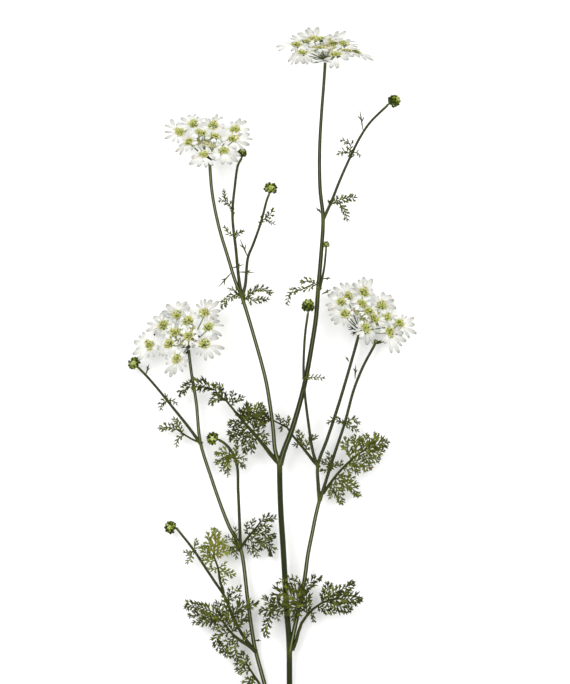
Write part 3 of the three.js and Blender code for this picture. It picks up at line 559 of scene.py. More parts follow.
# %% Single narrow bracts on the stem, from root to tip
BRACTS = (
    ((-32.4, 118, 17.8), (-36, 114, 18.8), (-42.8, 106.4, 17.5)),
    ((-32.2, 121.4, 17.5), (-27.4, 123.4, 22.2), (-22.6, 124.4, 23)),
    ((-26.8, 118.4, 19.3), (-21.4, 118.4, 23), (-14, 118, 22.4)),
    ((-19.2, 130, 21), (-21.6, 136, 23.4), (-25.6, 144.6, 24.6)),
    ((40.8, 164, 25.6), (39.4, 169, 28.2), (34.8, 170, 27.8)),
    ((39.8, 113, 24.7), (43, 113.2, 25.2), (47.4, 113.4, 24.6)),
    ((-101.4, 35.8, 10.4), (-99, 40, 12), (-98.4, 45, 13)),
    ((-14.8, -177.4, 6.8), (-11.6, -177.6, 7.2), (-8.8, -177.2, 6.8)),
    ((39.8, 100.6, 24), (42.6, 102.2, 24.4), (47, 104.2, 24)),
    ((72.8, 231.6, 20), (72.6, 241.6, 20.4), (70.2, 248, 19.6)),
    ((66.6, 33, 9.6), (66.4, 40, 10), (67, 44, 10.4)),
    ((61.8, 46.6, 11.2), (59, 50.8, 11.6)),
)

# %% [markdown]
# Joints are yellower than the rest. After all rods are made, each vertex takes its tone from its distance
# to the nearest joint, which is where a branch starts.

# %% Stem
STEM_STEPS = 120
FOOT_SWELLING = 0.35
FOOT_LENGTH = 7.0  # mm
JOINT_REACH = 5.0  # mm, of the yellower tissue round a joint

stem = new_growth()
joints = []
PAINTED_HIGHLIGHT = {"main stem": 0.72, "leader to flower head 1": 0.85}  # the painted highlight along the top is weaker on the thickest stems
TWIG_RADIUS = 1.45  # mm, below which a branch is a twig
TWIG_PAINTED_HIGHLIGHT = 0.8  # twigs get only a weak painted highlight
RIB_RISE = 1.05  # the ribs stand a little higher than the smooth rod that they replace
for title, foot_radius, tip_radius, points in STEMS:
    route = route_through(points, STEM_STEPS)
    length = route_length(route) / MM
    swelling = 0 if title == "main stem" else FOOT_SWELLING

    def branch_radius(share, swelling=swelling, length=length, foot=foot_radius, tip=tip_radius):
        """Tapers evenly, apart from the swollen foot."""
        swollen = 1 + swelling * np.exp(-share * length / FOOT_LENGTH)
        return (foot + (tip - foot) * share) * swollen * RIB_RISE * MM

    lay_along(stem, ribbed_stalk, route, branch_radius)
    # scales the painted highlight along the branch's top
    highlight_share = TWIG_PAINTED_HIGHLIGHT if foot_radius < TWIG_RADIUS else 1
    stem["mark"][-1] = stem["mark"][-1] * PAINTED_HIGHLIGHT.get(title, highlight_share)
    if swelling:
        joints.append(route[0])
    joints.append(route[-1])
    print(title, round(length), "mm")

stem_places = np.concatenate(stem["places"])
nearest = np.min([np.linalg.norm(stem_places - joint, axis=1) for joint in joints[1:]], axis=0)
stem["tone"] = [np.exp(-((nearest / (JOINT_REACH * MM)) ** 2))]
grown(stem, "stem_ribbed", "stem", stem_finish)

# %% Cut end
# A disc of pith, just proud of the rod's flat end.
CUT_RADIUS = 2.15  # mm
deselect_all()
bpy.ops.mesh.primitive_circle_add(vertices=24, radius=1, fill_type="NGON", rotation=(math.pi / 2, 0, 0))
bpy.ops.object.transform_apply(location=False, rotation=True, scale=False)
bpy.ops.object.mode_set(mode="EDIT")
for _ in range(4):
    bpy.ops.mesh.inset(thickness=0.2)
bpy.ops.object.mode_set(mode="OBJECT")
disc = taken_as_pattern(lambda co: 0.5)
cut = new_growth()
outward = Vector(STEMS[0][3][0]) - Vector(STEMS[0][3][1])
cut_centre = place(STEMS[0][3][0]) + outward.normalized() * 0.15 * MM
add_copy(cut, disc, disc["places"] * CUT_RADIUS * MM + np.array(cut_centre), 0.5)
cut["along"] = [np.hypot(disc["places"][:, 0], disc["places"][:, 2])]
grown(cut, "stem_cut_end", "stem", pith_finish)

# %% [markdown]
# ## Leaves
# A leaf is cut nearly to its rib, twice over. So a blade is a thin rib with pairs of narrow lobes that lean
# forward, and each long lobe carries two smaller ones. One row of the tables is a blade: its half width in
# millimetres, and the points of its rib from root to tip.

# %% Blades and their lobes
LOBE_STEP = 3.1  # mm along a rib
LOBE_LEAN = math.radians(42)  # from the rib
LOBE_WIDTH = 1.2  # mm, of a lobe 5 mm long
BRACT_WIDTH = 1.1  # mm
WILTED = ((-42.0, -102.0, 14.0), (82.0, -38.6, 10.0))  # spots where the leaves have turned brown
WILTED_REACH = 7.0  # mm
SIDE_LOBE_FROM = 3.8  # mm, the shortest lobe that carries smaller ones

SEED = 7
draw = random.Random(SEED)


def anywhere():
    """A random vector."""
    return Vector((draw.uniform(-1, 1), draw.uniform(-1, 1), draw.uniform(-1, 1)))


def turned(along, across, turn):
    """The direction at this angle, in radians, from one direction towards another."""
    return along * math.cos(turn) + across * math.sin(turn)


def lobe(growth, root, forward, up, length, tone):
    """One lobe, with smaller ones on its sides if it is long. length is in mm."""
    up = (up - forward * up.dot(forward)).normalized()
    width = LOBE_WIDTH * (0.45 + 0.11 * length) * MM
    curl = draw.uniform(-0.3, 0.25)
    stick_out(growth, leaf_lobe, root, forward, up, length * MM, width, curl, tone)
    if length < SIDE_LOBE_FROM:
        return
    side = up.cross(forward).normalized()
    for sign, share in ((-1, 0.28), (1, 0.46)):
        foot = root + forward * length * MM * share
        turn = (forward + side * sign * draw.uniform(0.45, 0.85)).normalized()
        small = length * draw.uniform(0.4, 0.6) * (1.15 - 0.5 * share)
        stick_out(growth, leaf_lobe, foot, turn, up, small * MM, width * 0.75, curl, tone)


def bract(growth, root, tip, up, fork, tone):
    """A narrow bract with two side teeth, as long as this share of it. Places in metres."""
    reach = tip - root
    forward = reach.normalized()
    side = up.cross(forward).normalized()
    stick_out(growth, leaf_lobe, root, forward, up, reach.length, BRACT_WIDTH * MM, 0.05, tone)
    for sign, share in ((-1, 0.4), (1, 0.5)):
        turn = forward + side * sign * draw.uniform(0.4, 0.7)
        stick_out(growth, leaf_lobe, root + reach * share, turn, up, reach.length * fork,
                  0.8 * BRACT_WIDTH * MM, 0.1, tone)


def blade(growth, half_width, points, tone):
    """A cut blade: a rib with pairs of lobes, and one lobe at its tip."""
    route = route_through(points, 16)
    length = route_length(route) / MM
    lay_along(growth, hair_stalk, route, lambda share: (0.5 - 0.3 * share) * MM, tone)
    pairs = max(2, round(length / LOBE_STEP))
    for k in range(pairs):
        for sign in (-1, 1):
            share = min(0.98, (k + 0.55 + 0.22 * sign) / (pairs + 0.4))
            root, heading = at(route, share)
            side = UP.cross(heading).normalized()
            lean = LOBE_LEAN + draw.uniform(-0.3, 0.3)
            rise = draw.uniform(0.05, 0.45)
            forward = (turned(heading, side * sign, lean) + UP * rise * 0.5).normalized()
            up = (UP - side * sign * rise + heading * draw.uniform(-0.3, 0.3)).normalized()
            reach = half_width * (0.42 + 0.62 * math.sin(math.pi * (0.16 + 0.78 * share)))
            shade = max(0, min(1, tone + draw.uniform(-0.15, 0.15) + 0.5 * draw.random() ** 4))
            if min((root - place(spot)).length for spot in WILTED) < WILTED_REACH * MM:
                shade = draw.uniform(1.0, 1.5)
            lobe(growth, root, forward, up, reach * draw.uniform(1.15, 1.95) + 0.9, shade)
    root, heading = at(route, 0.9)
    lobe(growth, root, heading, UP, half_width * 0.9 + 1.2, tone)


print("a lobe has", len(leaf_lobe["faces"]), "faces")

# %% Fronds: the radii of the stalk's ends, the stalk and its blades
FRONDS = {
    "frond_1": ((1.9, 0.7),
        ((0.5, -29.5, 15.6), (-8, -18.4, 18), (-17.6, -7.2, 20), (-24.8, 1, 21.5), (-31.2, 9, 22),
        (-38.4, 17.6, 21.5)), (
        (4, (-35, 13.6, 21.7), (-45.6, 24, 20), (-53.6, 28, 18.5), (-61.6, 28.8, 17),
        (-69.6, 25.6, 15.5), (-74.4, 20.8, 14.5)),
        (5, (-20, -3.6, 20.5), (-16, 5, 24), (-8, 9.6, 25)),
        (4, (-15.4, -9.8, 19.6), (-11.4, -1, 22), (-7.4, 4.4, 23)),
        (3.2, (-21.4, -3, 20.5), (-27, -2.4, 20.5), (-33.6, -3.5, 19.5)),
        (3.5, (-18.6, -6.2, 20), (-25.6, -8.5, 19), (-34, -11, 17.5)),
        (3.4, (-14.4, -11, 19), (-19.6, -17.6, 17.5), (-22.6, -25, 16)),
        (2.4, (-13.6, -11.8, 19), (-9, -10.6, 20), (-3.8, -11.8, 20.6)),
        (3, (-38, 17, 21.5), (-44, 17, 20), (-49.6, 13.6, 18.5)),
        (2, (-33, 11.4, 22), (-27.6, 16.6, 23.4), (-22.6, 18.4, 24)),
        (4, (-22.4, -1.6, 20.9), (-20.6, 6.4, 24), (-17.6, 11, 26)),
        (3, (-24, 0, 21.2), (-25.6, 7.4, 23)),
        (3.2, (-16, -9.2, 19.5), (-24, -14, 18), (-32.8, -15.4, 17)),
        (2.4, (-11.6, -14.2, 18.6), (-15.6, -20, 17.4), (-16.6, -25.6, 16)),
        (2, (-9.6, -16.4, 18.2), (-6, -16.2, 19.6), (-2.6, -18.6, 20.4)),
        (2, (-39.6, 19.4, 21.3), (-40.6, 25.6, 22.6), (-44, 29.6, 23.6)),
        (2, (-35, 13.6, 21.8), (-31.8, 18.4, 23.4), (-31, 22.6, 24.4)),
    )),
    "frond_2": ((1.4, 0.6),
        ((35, -35.2, 12), (30.4, -29.6, 11.5), (24.8, -22.4, 11), (20.8, -17.6, 10.5), (16, -12, 10),
        (12, -6, 10), (6.4, -3.2, 10), (0, 0, 10.5)), (
        (3, (2, -1, 10.3), (-7.2, 1.4, 11), (-13, -3.2, 11.6)),
        (3, (24.8, -22.4, 11), (22.6, -15.6, 13), (21.6, -9.6, 14)),
        (2.4, (26.8, -24.8, 11.4), (29.6, -17, 11.8), (36, -13.2, 12)),
        (2, (12.4, -6.2, 10.3), (11.4, -1.6, 11.4), (13.4, 1.8, 12)),
        (1.6, (-5.6, 1.2, 11.2), (-7.8, -6.2, 10.2)),
        (1.8, (22.6, -19.6, 10.8), (17.6, -19.8, 9)),
        (2, (6.4, -3.2, 10), (7, 0.8, 11.4), (3.8, 3.4, 12.4)),
        (1.6, (8.4, -4.2, 10), (7, -8.4, 9)),
        (1.6, (-3.4, 0.8, 10.7), (-5.2, 5.4, 12.4)),
    )),
    "frond_3": ((1.3, 0.6),
        ((43.4, -55.4, 12), (47.4, -50, 12.8), (51.2, -44.8, 13.5), (59.2, -36, 14.5),
        (67.2, -28.8, 15.5), (76, -23.2, 15)), (
        (4.6, (73, -25, 15.2), (84.8, -19.4, 14), (92, -18.4, 12.5)),
        (3.4, (63, -32.4, 15), (61.6, -25.6, 16), (58.8, -20, 15.6), (58.8, -15, 15)),
        (3.8, (67, -29, 15.5), (67.6, -20, 17), (66.8, -13.6, 17)),
        (3.8, (71.6, -26, 15.3), (73.8, -19, 17.4), (75.4, -13, 17.4)),
        (3.4, (77.6, -22.6, 14.8), (81, -16.8, 16.4), (84.4, -12.8, 16)),
        (3.4, (69, -27.4, 15.3), (76, -31, 13.6), (85.6, -31.6, 11.6)),
        (4.2, (50, -46.2, 13.3), (57.4, -50.4, 11), (65, -55, 9), (68.4, -61.4, 7.6)),
        (3.4, (47, -50.4, 12.7), (51.8, -55.4, 11), (55, -61.4, 9), (56.4, -67, 8)),
        (3.4, (74, -24.4, 15), (82.4, -26.4, 13.6), (89, -25.2, 12)),
        (3.6, (60, -35.2, 14.6), (70.4, -34.4, 12.6), (78.6, -39.4, 10.6)),
        (2.4, (61, -34.4, 14.7), (66.4, -38.4, 12.6), (68.8, -43.4, 11)),
        (1.8, (56.4, -39, 14.2), (61.4, -40, 13), (62.8, -43.6, 12)),
        (2.4, (52.4, -43.4, 13.6), (59, -46, 12), (65.6, -46.6, 11)),
        (1.8, (45.4, -52.6, 12.4), (47.6, -58, 11), (46, -62.6, 10)),
    )),
    "frond_4": ((1.5, 0.7),
        ((18.6, -180, 8.6), (21.8, -168, 10), (24.8, -161, 11.5), (28, -156.8, 13), (35.2, -149.6, 15),
        (44.8, -144.4, 16.5), (54, -142.8, 16.4)), (
        (5, (47.4, -144.4, 16.8), (60, -142.9, 16.3), (70, -145, 13.5)),
        (4, (43.4, -145.2, 16.3), (51.6, -137, 18.2), (60.8, -133.8, 17.5), (65.6, -130.4, 17)),
        (3.8, (39, -147.4, 15.8), (43.4, -138.4, 18), (45, -131.4, 18.6)),
        (4, (28, -156.8, 13), (28, -148, 16), (26.4, -137.6, 18), (32, -128.4, 19.4),
        (39, -126.8, 19.4)),
        (2, (26.6, -139, 17.8), (22.4, -131.2, 18.8), (16.8, -126.4, 18.4), (8.8, -127.6, 17.8),
        (3, -131.6, 16.8)),
        (5, (28, -150, 15.6), (21.6, -145.4, 17), (14.4, -140, 18), (6.4, -138.4, 17.5),
        (1.2, -144.6, 16)),
        (4.4, (24, -147.2, 16.4), (17, -150.6, 16.6), (9.6, -151, 16), (3, -149.4, 14.6)),
        (3.4, (3.6, -149.6, 14.8), (-2.6, -153, 13), (-8.4, -152.6, 11.8)),
        (2.8, (0.4, -151.6, 14), (-2, -159.6, 12.5), (-5.6, -166.4, 10.6), (-3.4, -175, 9)),
        (4, (43, -145, 16.2), (52.8, -149, 14.5), (63, -152, 12.5)),
        (3, (36, -149.2, 15.2), (42.4, -152.2, 14), (49.4, -154.6, 12.5)),
        (2, (31, -153.8, 14), (33.4, -156, 13), (32.4, -161, 12)),
        (3.4, (26.4, -141, 17.4), (19.6, -135.6, 19), (13.8, -132.6, 19)),
        (2.4, (22, -148.4, 16.5), (20, -155.4, 15.6), (16.6, -159.6, 15)),
        (2.2, (5, -150, 15.2), (-1, -147.4, 14), (-7, -141.6, 12.5)),
        (1.8, (7.2, -150.8, 15.6), (3.8, -155, 15), (4.8, -160.4, 14)),
    )),
    "frond_5": ((1.4, 0.6),
        ((-23.2, -100.2, 9.6), (-20, -95.2, 10.5), (-16, -90.4, 12), (-12, -85.6, 13),
        (-9, -81.4, 13.2)), (
        (2.8, (-11, -84.2, 13.1), (-5.6, -79.2, 13), (2.6, -79.4, 11.5)),
        (3.6, (-17, -91.6, 11.8), (-11.2, -90.4, 13), (-4.8, -91.6, 12), (1.8, -94.4, 10)),
        (3, (-12.6, -95.4, 11), (-4.8, -99.4, 10), (0, -103.6, 8.5), (-0.8, -109, 7.5)),
        (2, (-18, -92.8, 11.3), (-11.2, -96.6, 11), (-8.4, -104.6, 9.5)),
        (1.8, (-18, -92.8, 11.3), (-20.6, -88.6, 13), (-19.6, -82.6, 14)),
        (2.4, (-12.4, -86, 12.9), (-7.6, -85.2, 14), (-1, -85.6, 13)),
        (2.2, (-19.6, -94.8, 10.7), (-15, -98.6, 10), (-13.8, -104, 8.5), (-12, -110.4, 7)),
        (1.8, (-15, -89.2, 12.3), (-16.4, -84.8, 14), (-14.4, -79.4, 15)),
        (1.6, (-22.2, -98.6, 9.9), (-18.8, -102.8, 9), (-17, -107.6, 8)),
    )),
    "frond_6": ((1.7, 0.7),
        ((-16, -183.4, 9.6), (-19.2, -180.8, 10.8), (-25.6, -176.8, 13), (-32, -171.2, 15),
        (-35.2, -167.2, 15.5), (-40, -160, 16)), (
        (4, (-38.5, -163.2, 16.4), (-46, -154.6, 15.7), (-53.6, -151.2, 14.5), (-61.6, -148.8, 13),
        (-69.4, -148, 11.5)),
        (2.8, (-41.4, -159.2, 16.3), (-50, -159.4, 14.1), (-58, -156, 13), (-67, -157.4, 11.5)),
        (3.2, (-33, -170, 15.2), (-41.6, -171.6, 13.5), (-44.8, -175.6, 12), (-43.2, -182.6, 10.5),
        (-40, -187, 9.5)),
        (2.8, (-26.6, -176.2, 13.4), (-30, -181, 13), (-29.4, -186.4, 12.4), (-27.8, -193, 11.6)),
        (4.2, (-36.4, -165.1, 15.8), (-33, -158.2, 16.7), (-27.6, -151.6, 16.5), (-21.6, -148.4, 16),
        (-12.6, -147.6, 15.5)),
        (2.6, (-40.3, -159.2, 16.2), (-41.8, -152, 17), (-44.4, -145.4, 17.5)),
        (2.6, (-37.1, -162.9, 15.7), (-36.2, -150, 18.3), (-36, -141.6, 19), (-31.2, -136, 19.5),
        (-24.4, -134.6, 19.5)),
        (2.4, (-40, -160.4, 15.8), (-48, -162.4, 13.4), (-56.4, -162.2, 12), (-64, -162.6, 11)),
        (2, (-36.4, -166, 15.6), (-42.4, -165.8, 14), (-47.6, -167.4, 13)),
        (2.8, (-29, -174, 14.3), (-36, -179, 12.6), (-37.6, -185, 11), (-33.8, -191, 10)),
        (4, (-32.6, -170.4, 15.1), (-29.6, -164.4, 16), (-25.2, -159.6, 16), (-20, -158.4, 15.5)),
        (2.2, (-24, -177.8, 12.5), (-22.4, -174, 13.4), (-18.6, -169.6, 13.8)),
        (1.8, (-36.4, -147, 18.4), (-32, -142.4, 19.4), (-25, -140.6, 19.6)),
    )),
    "frond_7": ((1.2, 0.6),
        ((-39.8, -134.6, 12), (-41.6, -130, 12.6), (-42.4, -124, 13.5), (-43.6, -117, 14),
        (-45.8, -112, 14), (-46.8, -106.4, 13.6)), (
        (4, (-46.4, -109, 13.8), (-45.6, -102, 13.2), (-44.8, -94.4, 12.5), (-45.8, -88, 11.5)),
        (2.8, (-46.6, -107, 13.6), (-50.6, -98.6, 12.6), (-50.6, -91.6, 11.6)),
        (3.6, (-46.4, -108, 13.7), (-41.2, -106, 13.2), (-34.8, -104.6, 12.4)),
        (2.8, (-45.8, -101.6, 13.1), (-41.4, -98.6, 12.4), (-37.2, -98.4, 11.2)),
        (3.6, (-45.8, -111.8, 14), (-51.8, -107.6, 13), (-55.4, -102.4, 12)),
        (2.6, (-42.8, -121.4, 13.6), (-37.6, -121.6, 13), (-30.8, -124.8, 12)),
        (2.6, (-45.6, -112.6, 14), (-50.6, -113.6, 13.6), (-55, -111.6, 13.4)),
        (1.6, (-42.2, -125.4, 13.3), (-39, -126.8, 12.6), (-38.4, -131.4, 12)),
        (1.8, (-43.2, -118.8, 13.8), (-39.8, -117.2, 14), (-37, -114.6, 14)),
        (1.8, (-43.2, -118.8, 13.8), (-47.4, -120, 13.4), (-50.6, -119, 13.4)),
    )),
    "frond_8": ((1.3, 0.7),
        ((-5.2, -221, 6.4), (-10.4, -211.6, 8), (-16, -203, 9), (-20.2, -196, 9)), (
        (3.4, (-18, -199.6, 9), (-21.6, -193.6, 8.4), (-24, -187.4, 7.2)),
        (2.6, (-17, -201.4, 9), (-23, -201.6, 8), (-28.6, -200.8, 6.5)),
        (3.6, (-12.6, -208.2, 8.4), (-19, -210.4, 7), (-23.4, -218, 5.5)),
        (2.2, (-19.4, -197.4, 9), (-25.4, -195.2, 7.4), (-30, -196, 6)),
        (2.2, (-15, -204.6, 8.8), (-16.4, -211.6, 7), (-15.4, -219, 5)),
    )),
    "frond_9": ((0.9, 0.6),
        ((-60, -17.4, 10.2), (-66, -14.6, 9.4), (-71.6, -11, 9), (-76, -8, 9)), (
        (2.8, (-75, -8.4, 9), (-83.2, -5.8, 8.5), (-90.4, -6.6, 7.5)),
        (2, (-72, -10.8, 9), (-75.4, -4, 8.6), (-78.6, 1.6, 8.2)),
        (2, (-70, -12, 9), (-75.4, -15, 8), (-77, -21.6, 7)),
    )),
}

# %% Grow the fronds
FROND_TONE = {"frond_7": 0.45, "frond_3": 0.25, "frond_8": 0.15, "frond_9": 0.2, "frond_2": 0.15}
OLD_TONE = 0.05  # of the stalks and the other fronds, which are older and darker
FOOT_RUN = 4.5  # mm, that a stalk runs on towards its joint
JOINT_DEPTH = 0.8  # mm, that it reaches into the stem


def joined(points):
    """The points, preceded by a spot in the stem, which the first of them leads to."""
    foot, next_place = place(points[0]), place(points[1])
    ahead = foot + (foot - next_place).normalized() * FOOT_RUN * MM
    spot = Vector(stem_places[np.argmin(np.linalg.norm(stem_places - np.array(ahead), axis=1))])
    return [(spot + (spot - foot).normalized() * JOINT_DEPTH * MM) / MM - CENTRING, *points]


def grow_leaf(growth, name, blades, tone):
    """Adds the blades to what has grown already, and makes the leaf's mesh."""
    for half_width, *points in blades:
        blade(growth, half_width, points, tone)
    grown(growth, name + "_cut_leaf", name, leaf_finish)


for name, ((foot_radius, tip_radius), stalk, blades) in FRONDS.items():
    growth = new_growth()
    lay_along(growth, plain_stalk, route_through(joined(stalk), 24),
              lambda share: (foot_radius + (tip_radius - foot_radius) * share) * MM, OLD_TONE)
    grow_leaf(growth, name, blades, FROND_TONE.get(name, OLD_TONE))

# %% Small leaves
LEAVES = {
    "leaf_1": (
        (2, (46.6, -38.4, 13.2), (43.2, -34.4, 14.6), (38.6, -32.4, 15.2)),
        (2.2, (45.8, -37.4, 13.5), (46, -31.4, 14.6), (45, -26.4, 15)),
        (2, (46.2, -38, 13.3), (52, -36.6, 13.4), (56, -33.8, 13)),
        (1.8, (46.6, -38.2, 13.2), (42.4, -40.8, 13.8), (39.4, -40.4, 14.4)),
    ),
    "leaf_2": (
        (2.4, (-25.6, 99.4, 19), (-29.8, 100.4, 19.6), (-35.2, 97, 18.5), (-41, 90.4, 17)),
        (1.8, (-26.4, 99.6, 19.2), (-30.6, 104.6, 20), (-34.4, 105.4, 20)),
    ),
    "leaf_3": (
        (2.6, (-21.6, 97.4, 19), (-15.2, 103.4, 19.6), (-8, 105.6, 19.6), (0.4, 100.8, 18)),
        (2.2, (-19.6, 99, 19.3), (-15.2, 95.2, 18.5), (-8.4, 96.4, 18), (-2.6, 96.6, 17.5)),
    ),
    "leaf_4": (
        (1.8, (-31.8, 168, 21.4), (-34.8, 173.4, 21.4), (-38, 176.4, 21), (-43, 175, 20)),
        (1.6, (-36.8, 175.6, 21.1), (-38, 179.6, 21.8), (-38.4, 183.4, 22.5)),
    ),
    "leaf_5": (
        (1.8, (-29.6, 147.4, 22), (-35, 149.4, 22), (-37.8, 155, 22)),
        (1.6, (-31, 148, 22), (-27, 149.2, 22), (-23, 150.6, 21.4)),
    ),
    "leaf_6": (
        (2, (-8.4, 158.6, 25.6), (-4.8, 161.4, 25.6), (-0.6, 165, 25.2), (1.4, 169.4, 24.6)),
        (1.5, (-6, 160.6, 25.6), (-2.4, 158.6, 25), (1.6, 156.6, 24)),
    ),
    "leaf_7": (
        (2.8, (47.4, 173.4, 25.6), (52.8, 175.4, 25.4), (59, 177.2, 24.6), (67.4, 177.8, 22.6)),
        (2.2, (51.6, 175, 25.4), (56, 170.6, 24.4), (59, 165.4, 23.4), (60, 159.4, 22)),
    ),
    "leaf_8": (
        (2.2, (36.4, 107.4, 24.6), (30.4, 111.4, 24.6), (22.8, 110, 23.5)),
        (2, (33.6, 109.4, 24.6), (29.4, 104.8, 24), (21.4, 104.8, 23.5), (14.4, 101.4, 22.2),
        (11.6, 91.4, 20)),
    ),
    "leaf_9": (
        (2.2, (63.2, 211.8, 21.6), (58.8, 215.4, 21.6), (52.4, 212.8, 20.5)),
        (2, (61.8, 213, 21.6), (63, 221, 22), (55, 223.8, 21.5)),
        (1.4, (63, 212.4, 21.4), (68, 214.2, 21.5), (70, 210.8, 21)),
    ),
    "leaf_10": (
        (2, (26, 33.4, 25.8), (33, 34.6, 26), (41.8, 33.4, 25)),
    ),
    "leaf_11": (
        (2, (59.4, -2.4, 12), (64, -6, 11.6), (69, -9, 10.6)),
        (1.8, (60.4, -3.2, 11.9), (63.4, 0.6, 12.6), (68, -0.6, 12), (70, -3, 11.5)),
    ),
    "leaf_12": (
        (2, (57.4, -2.4, 12.4), (54, -0.6, 13.6), (49.6, 0.6, 14.8), (44.2, -2.6, 14.2)),
    ),
    "leaf_13": (
        (1.8, (-83, 15.4, 13.2), (-87.6, 14, 13), (-89.8, 8, 12)),
        (1.4, (-84.4, 15.2, 13.2), (-79.6, 15.6, 13.4), (-76.6, 12.6, 12.6)),
        (1.4, (-83.6, 15.2, 13.2), (-85.4, 20, 13.8)),
    ),
    "leaf_14": (
        (2.8, (-32.6, -28, 13.6), (-38.4, -25.2, 13), (-45.2, -27.4, 12)),
        (2.8, (-34, -27.4, 13.5), (-38.4, -32.4, 12), (-45.2, -34, 10.5)),
        (2.4, (-35.4, -29, 13), (-36, -37.6, 11.5), (-35.6, -45, 9.5)),
        (1.8, (-33.4, -28, 13.6), (-37.4, -36, 11.4), (-41.6, -41, 10)),
    ),
    "leaf_15": (
        (2, (-29.8, -31.4, 13.2), (-28.8, -24, 13.4), (-27.4, -18.8, 13)),
        (1.6, (-29.4, -31, 13), (-24.6, -30, 12), (-21, -32.2, 11.5)),
        (1.6, (-29.4, -31, 13), (-25, -35.4, 11.8), (-21.8, -38.8, 11)),
    ),
    "leaf_16": (
        (1.8, (-63, -105.6, 11.8), (-67, -107.6, 11), (-70.4, -105.6, 10.5)),
        (1.8, (-64.6, -106.6, 11.6), (-65.8, -112, 10.6), (-68.6, -114.6, 9.6)),
        (1.6, (-64, -106.2, 11.7), (-61.8, -101.8, 12), (-60.6, -95.6, 12.5)),
    ),
    "leaf_17": (
        (2.4, (-27.6, -101.6, 9.4), (-30.6, -101, 8.6), (-32.4, -107, 7)),
        (2, (-29, -101.4, 9.1), (-29.6, -93.6, 12), (-29, -86.4, 13)),
        (1.8, (-28, -101.4, 9.4), (-28.8, -106, 7.8), (-29, -111, 6.4)),
        (1.6, (-28, -101.4, 9.4), (-31.6, -96.4, 12), (-37, -93, 12.8)),
    ),
}

# %% Grow the small leaves and the bracts
LEAF_TONE = {"leaf_14": 0.3, "leaf_15": 0.25, "leaf_16": 0.2}
USUAL_TONE = 0.1  # of the other small leaves and the bracts
BRACT_FORK = 0.3  # how long a bract's side teeth are, for its own length

for name, ((half_width, *points), *others) in LEAVES.items():
    blades = ((half_width, *joined(points)), *others)
    grow_leaf(new_growth(), name, blades, LEAF_TONE.get(name, USUAL_TONE))

growth = new_growth()
for root, *_, tip in BRACTS:
    bract(growth, place(root), place(tip), UP, BRACT_FORK, USUAL_TONE)
grown(growth, "stem_bracts", "stem", leaf_finish)

# %% [markdown]
# ## Flower heads
# A head is an umbel of umbels. Ten or so rays leave one point and each carries a small umbel: a tuft of
# florets with yellow-green hearts on short stalks. Only the florets at the rim have large petals, cut into
# two lobes, and those that point out of the head are by far the largest. Narrow green bracts stand below.

# %% Heads: the base, the direction it faces, its small umbels and the tips of its bracts
HEADS = {
    "flower_head_1": ((42.4, 287, 33.6), (0, 0.96, 0.27),
        ((20, 299, 32), (28, 302, 19), (38, 303, 36), (49, 301, 22), (57, 300, 27), (24, 291, 56),
        (38, 295, 52), (51, 289, 62), (59, 293, 50), (67, 293, 40), (33, 306, 10), (48, 304, 10)),
        ((32, 287.6, 37), (32.4, 284.4, 33), (52.8, 288, 34), (46.4, 284.4, 39), (37, 290.4, 29))),
    "flower_head_2": ((-50.2, 208.4, 14.8), (-0.05, 0.79, 0.61),
        ((-63, 237, 15), (-74, 230, 22), (-66, 222, 33), (-57, 229, 27), (-47, 236, 17), (-45, 226, 33),
        (-30, 232, 23), (-31, 224, 34), (-38, 214, 44), (-54, 211, 45)),
        ((-58, 213, 20), (-42, 212, 19), (-52, 218, 13), (-55, 206, 24), (-46, 208, 25))),
    "flower_head_3": ((-67.2, 58.4, 7), (-0.31, 0.53, 0.79),
        ((-76, 84, 8), (-87, 76, 8.6), (-54, 86, 17), (-67, 79, 19), (-51, 74, 26), (-67, 67, 27),
        (-78, 70, 21), (-98, 60, 18), (-82, 61, 25), (-54, 61, 33), (-76, 49, 33)),
        ((-73.6, 58.4, 9.5), (-72.6, 62.4, 10), (-60.4, 59.4, 10), (-69, 51.6, 9.5), (-66, 62, 14))),
    "flower_head_4": ((70.6, 71.6, 8.4), (0.25, 0.62, 0.74),
        ((55, 94, 23), (61, 99, 16), (58, 85, 30), (72, 93, 21), (74, 102.5, 8), (77, 87, 25),
        (82, 81, 28), (88, 92, 9.8), (92, 82, 20), (75, 73, 34), (94, 70, 29), (102, 77, 22)),
        ((60, 74.6, 11), (63, 68.8, 10), (78, 69, 11), (74, 79, 9), (69, 73, 17))),
}

# %% Small umbels
OUTER_FLORETS = 7
INNER_FLORETS = 5
FLORET_RING = 2.7  # mm, from the small umbel's middle to its outer florets
PETAL_REACH = 7.8  # mm, of petals that point into the head
EXTRA_REACH = 9.2  # mm, of those that point out of it
HEAD_RADIUS = 24.0  # mm
GOLDEN_TURN = 2.4  # radians, which spreads what grows round a middle evenly
YOUNG_UMBELS = 8  # hardly open, in the middle of a head
YOUNG_REACH = 10.0  # mm, of the part of the head that they fill
YOUNG_SHIFT = 0.22  # of the way from the head's middle to its base
FLORET_STALK = 0.22  # mm, its radius
OVARY_LENGTH, OVARY_WIDTH, OVARY_DEPTH = 2.4, 1.3, 2.2  # mm; the depth is below the floret's middle
HEART_HEIGHT, HEART_WIDTH = 0.9, 1.5  # mm
ANTHER_LENGTH, ANTHER_WIDTH = 0.6, 0.45  # mm
UMBEL_DEPTH = 1.8  # mm, from a small umbel's middle down to where its florets' stalks meet
SMALL_BRACTS = 5  # green ones under a small umbel
YOUNG_FLORETS, YOUNG_PETALS = 10, 5  # of one young umbel
DARK_FLORETS = {"flower_head_3": ((-93.4, 67.8, 26), (-57.8, 66.6, 36))}  # single purple-black ones


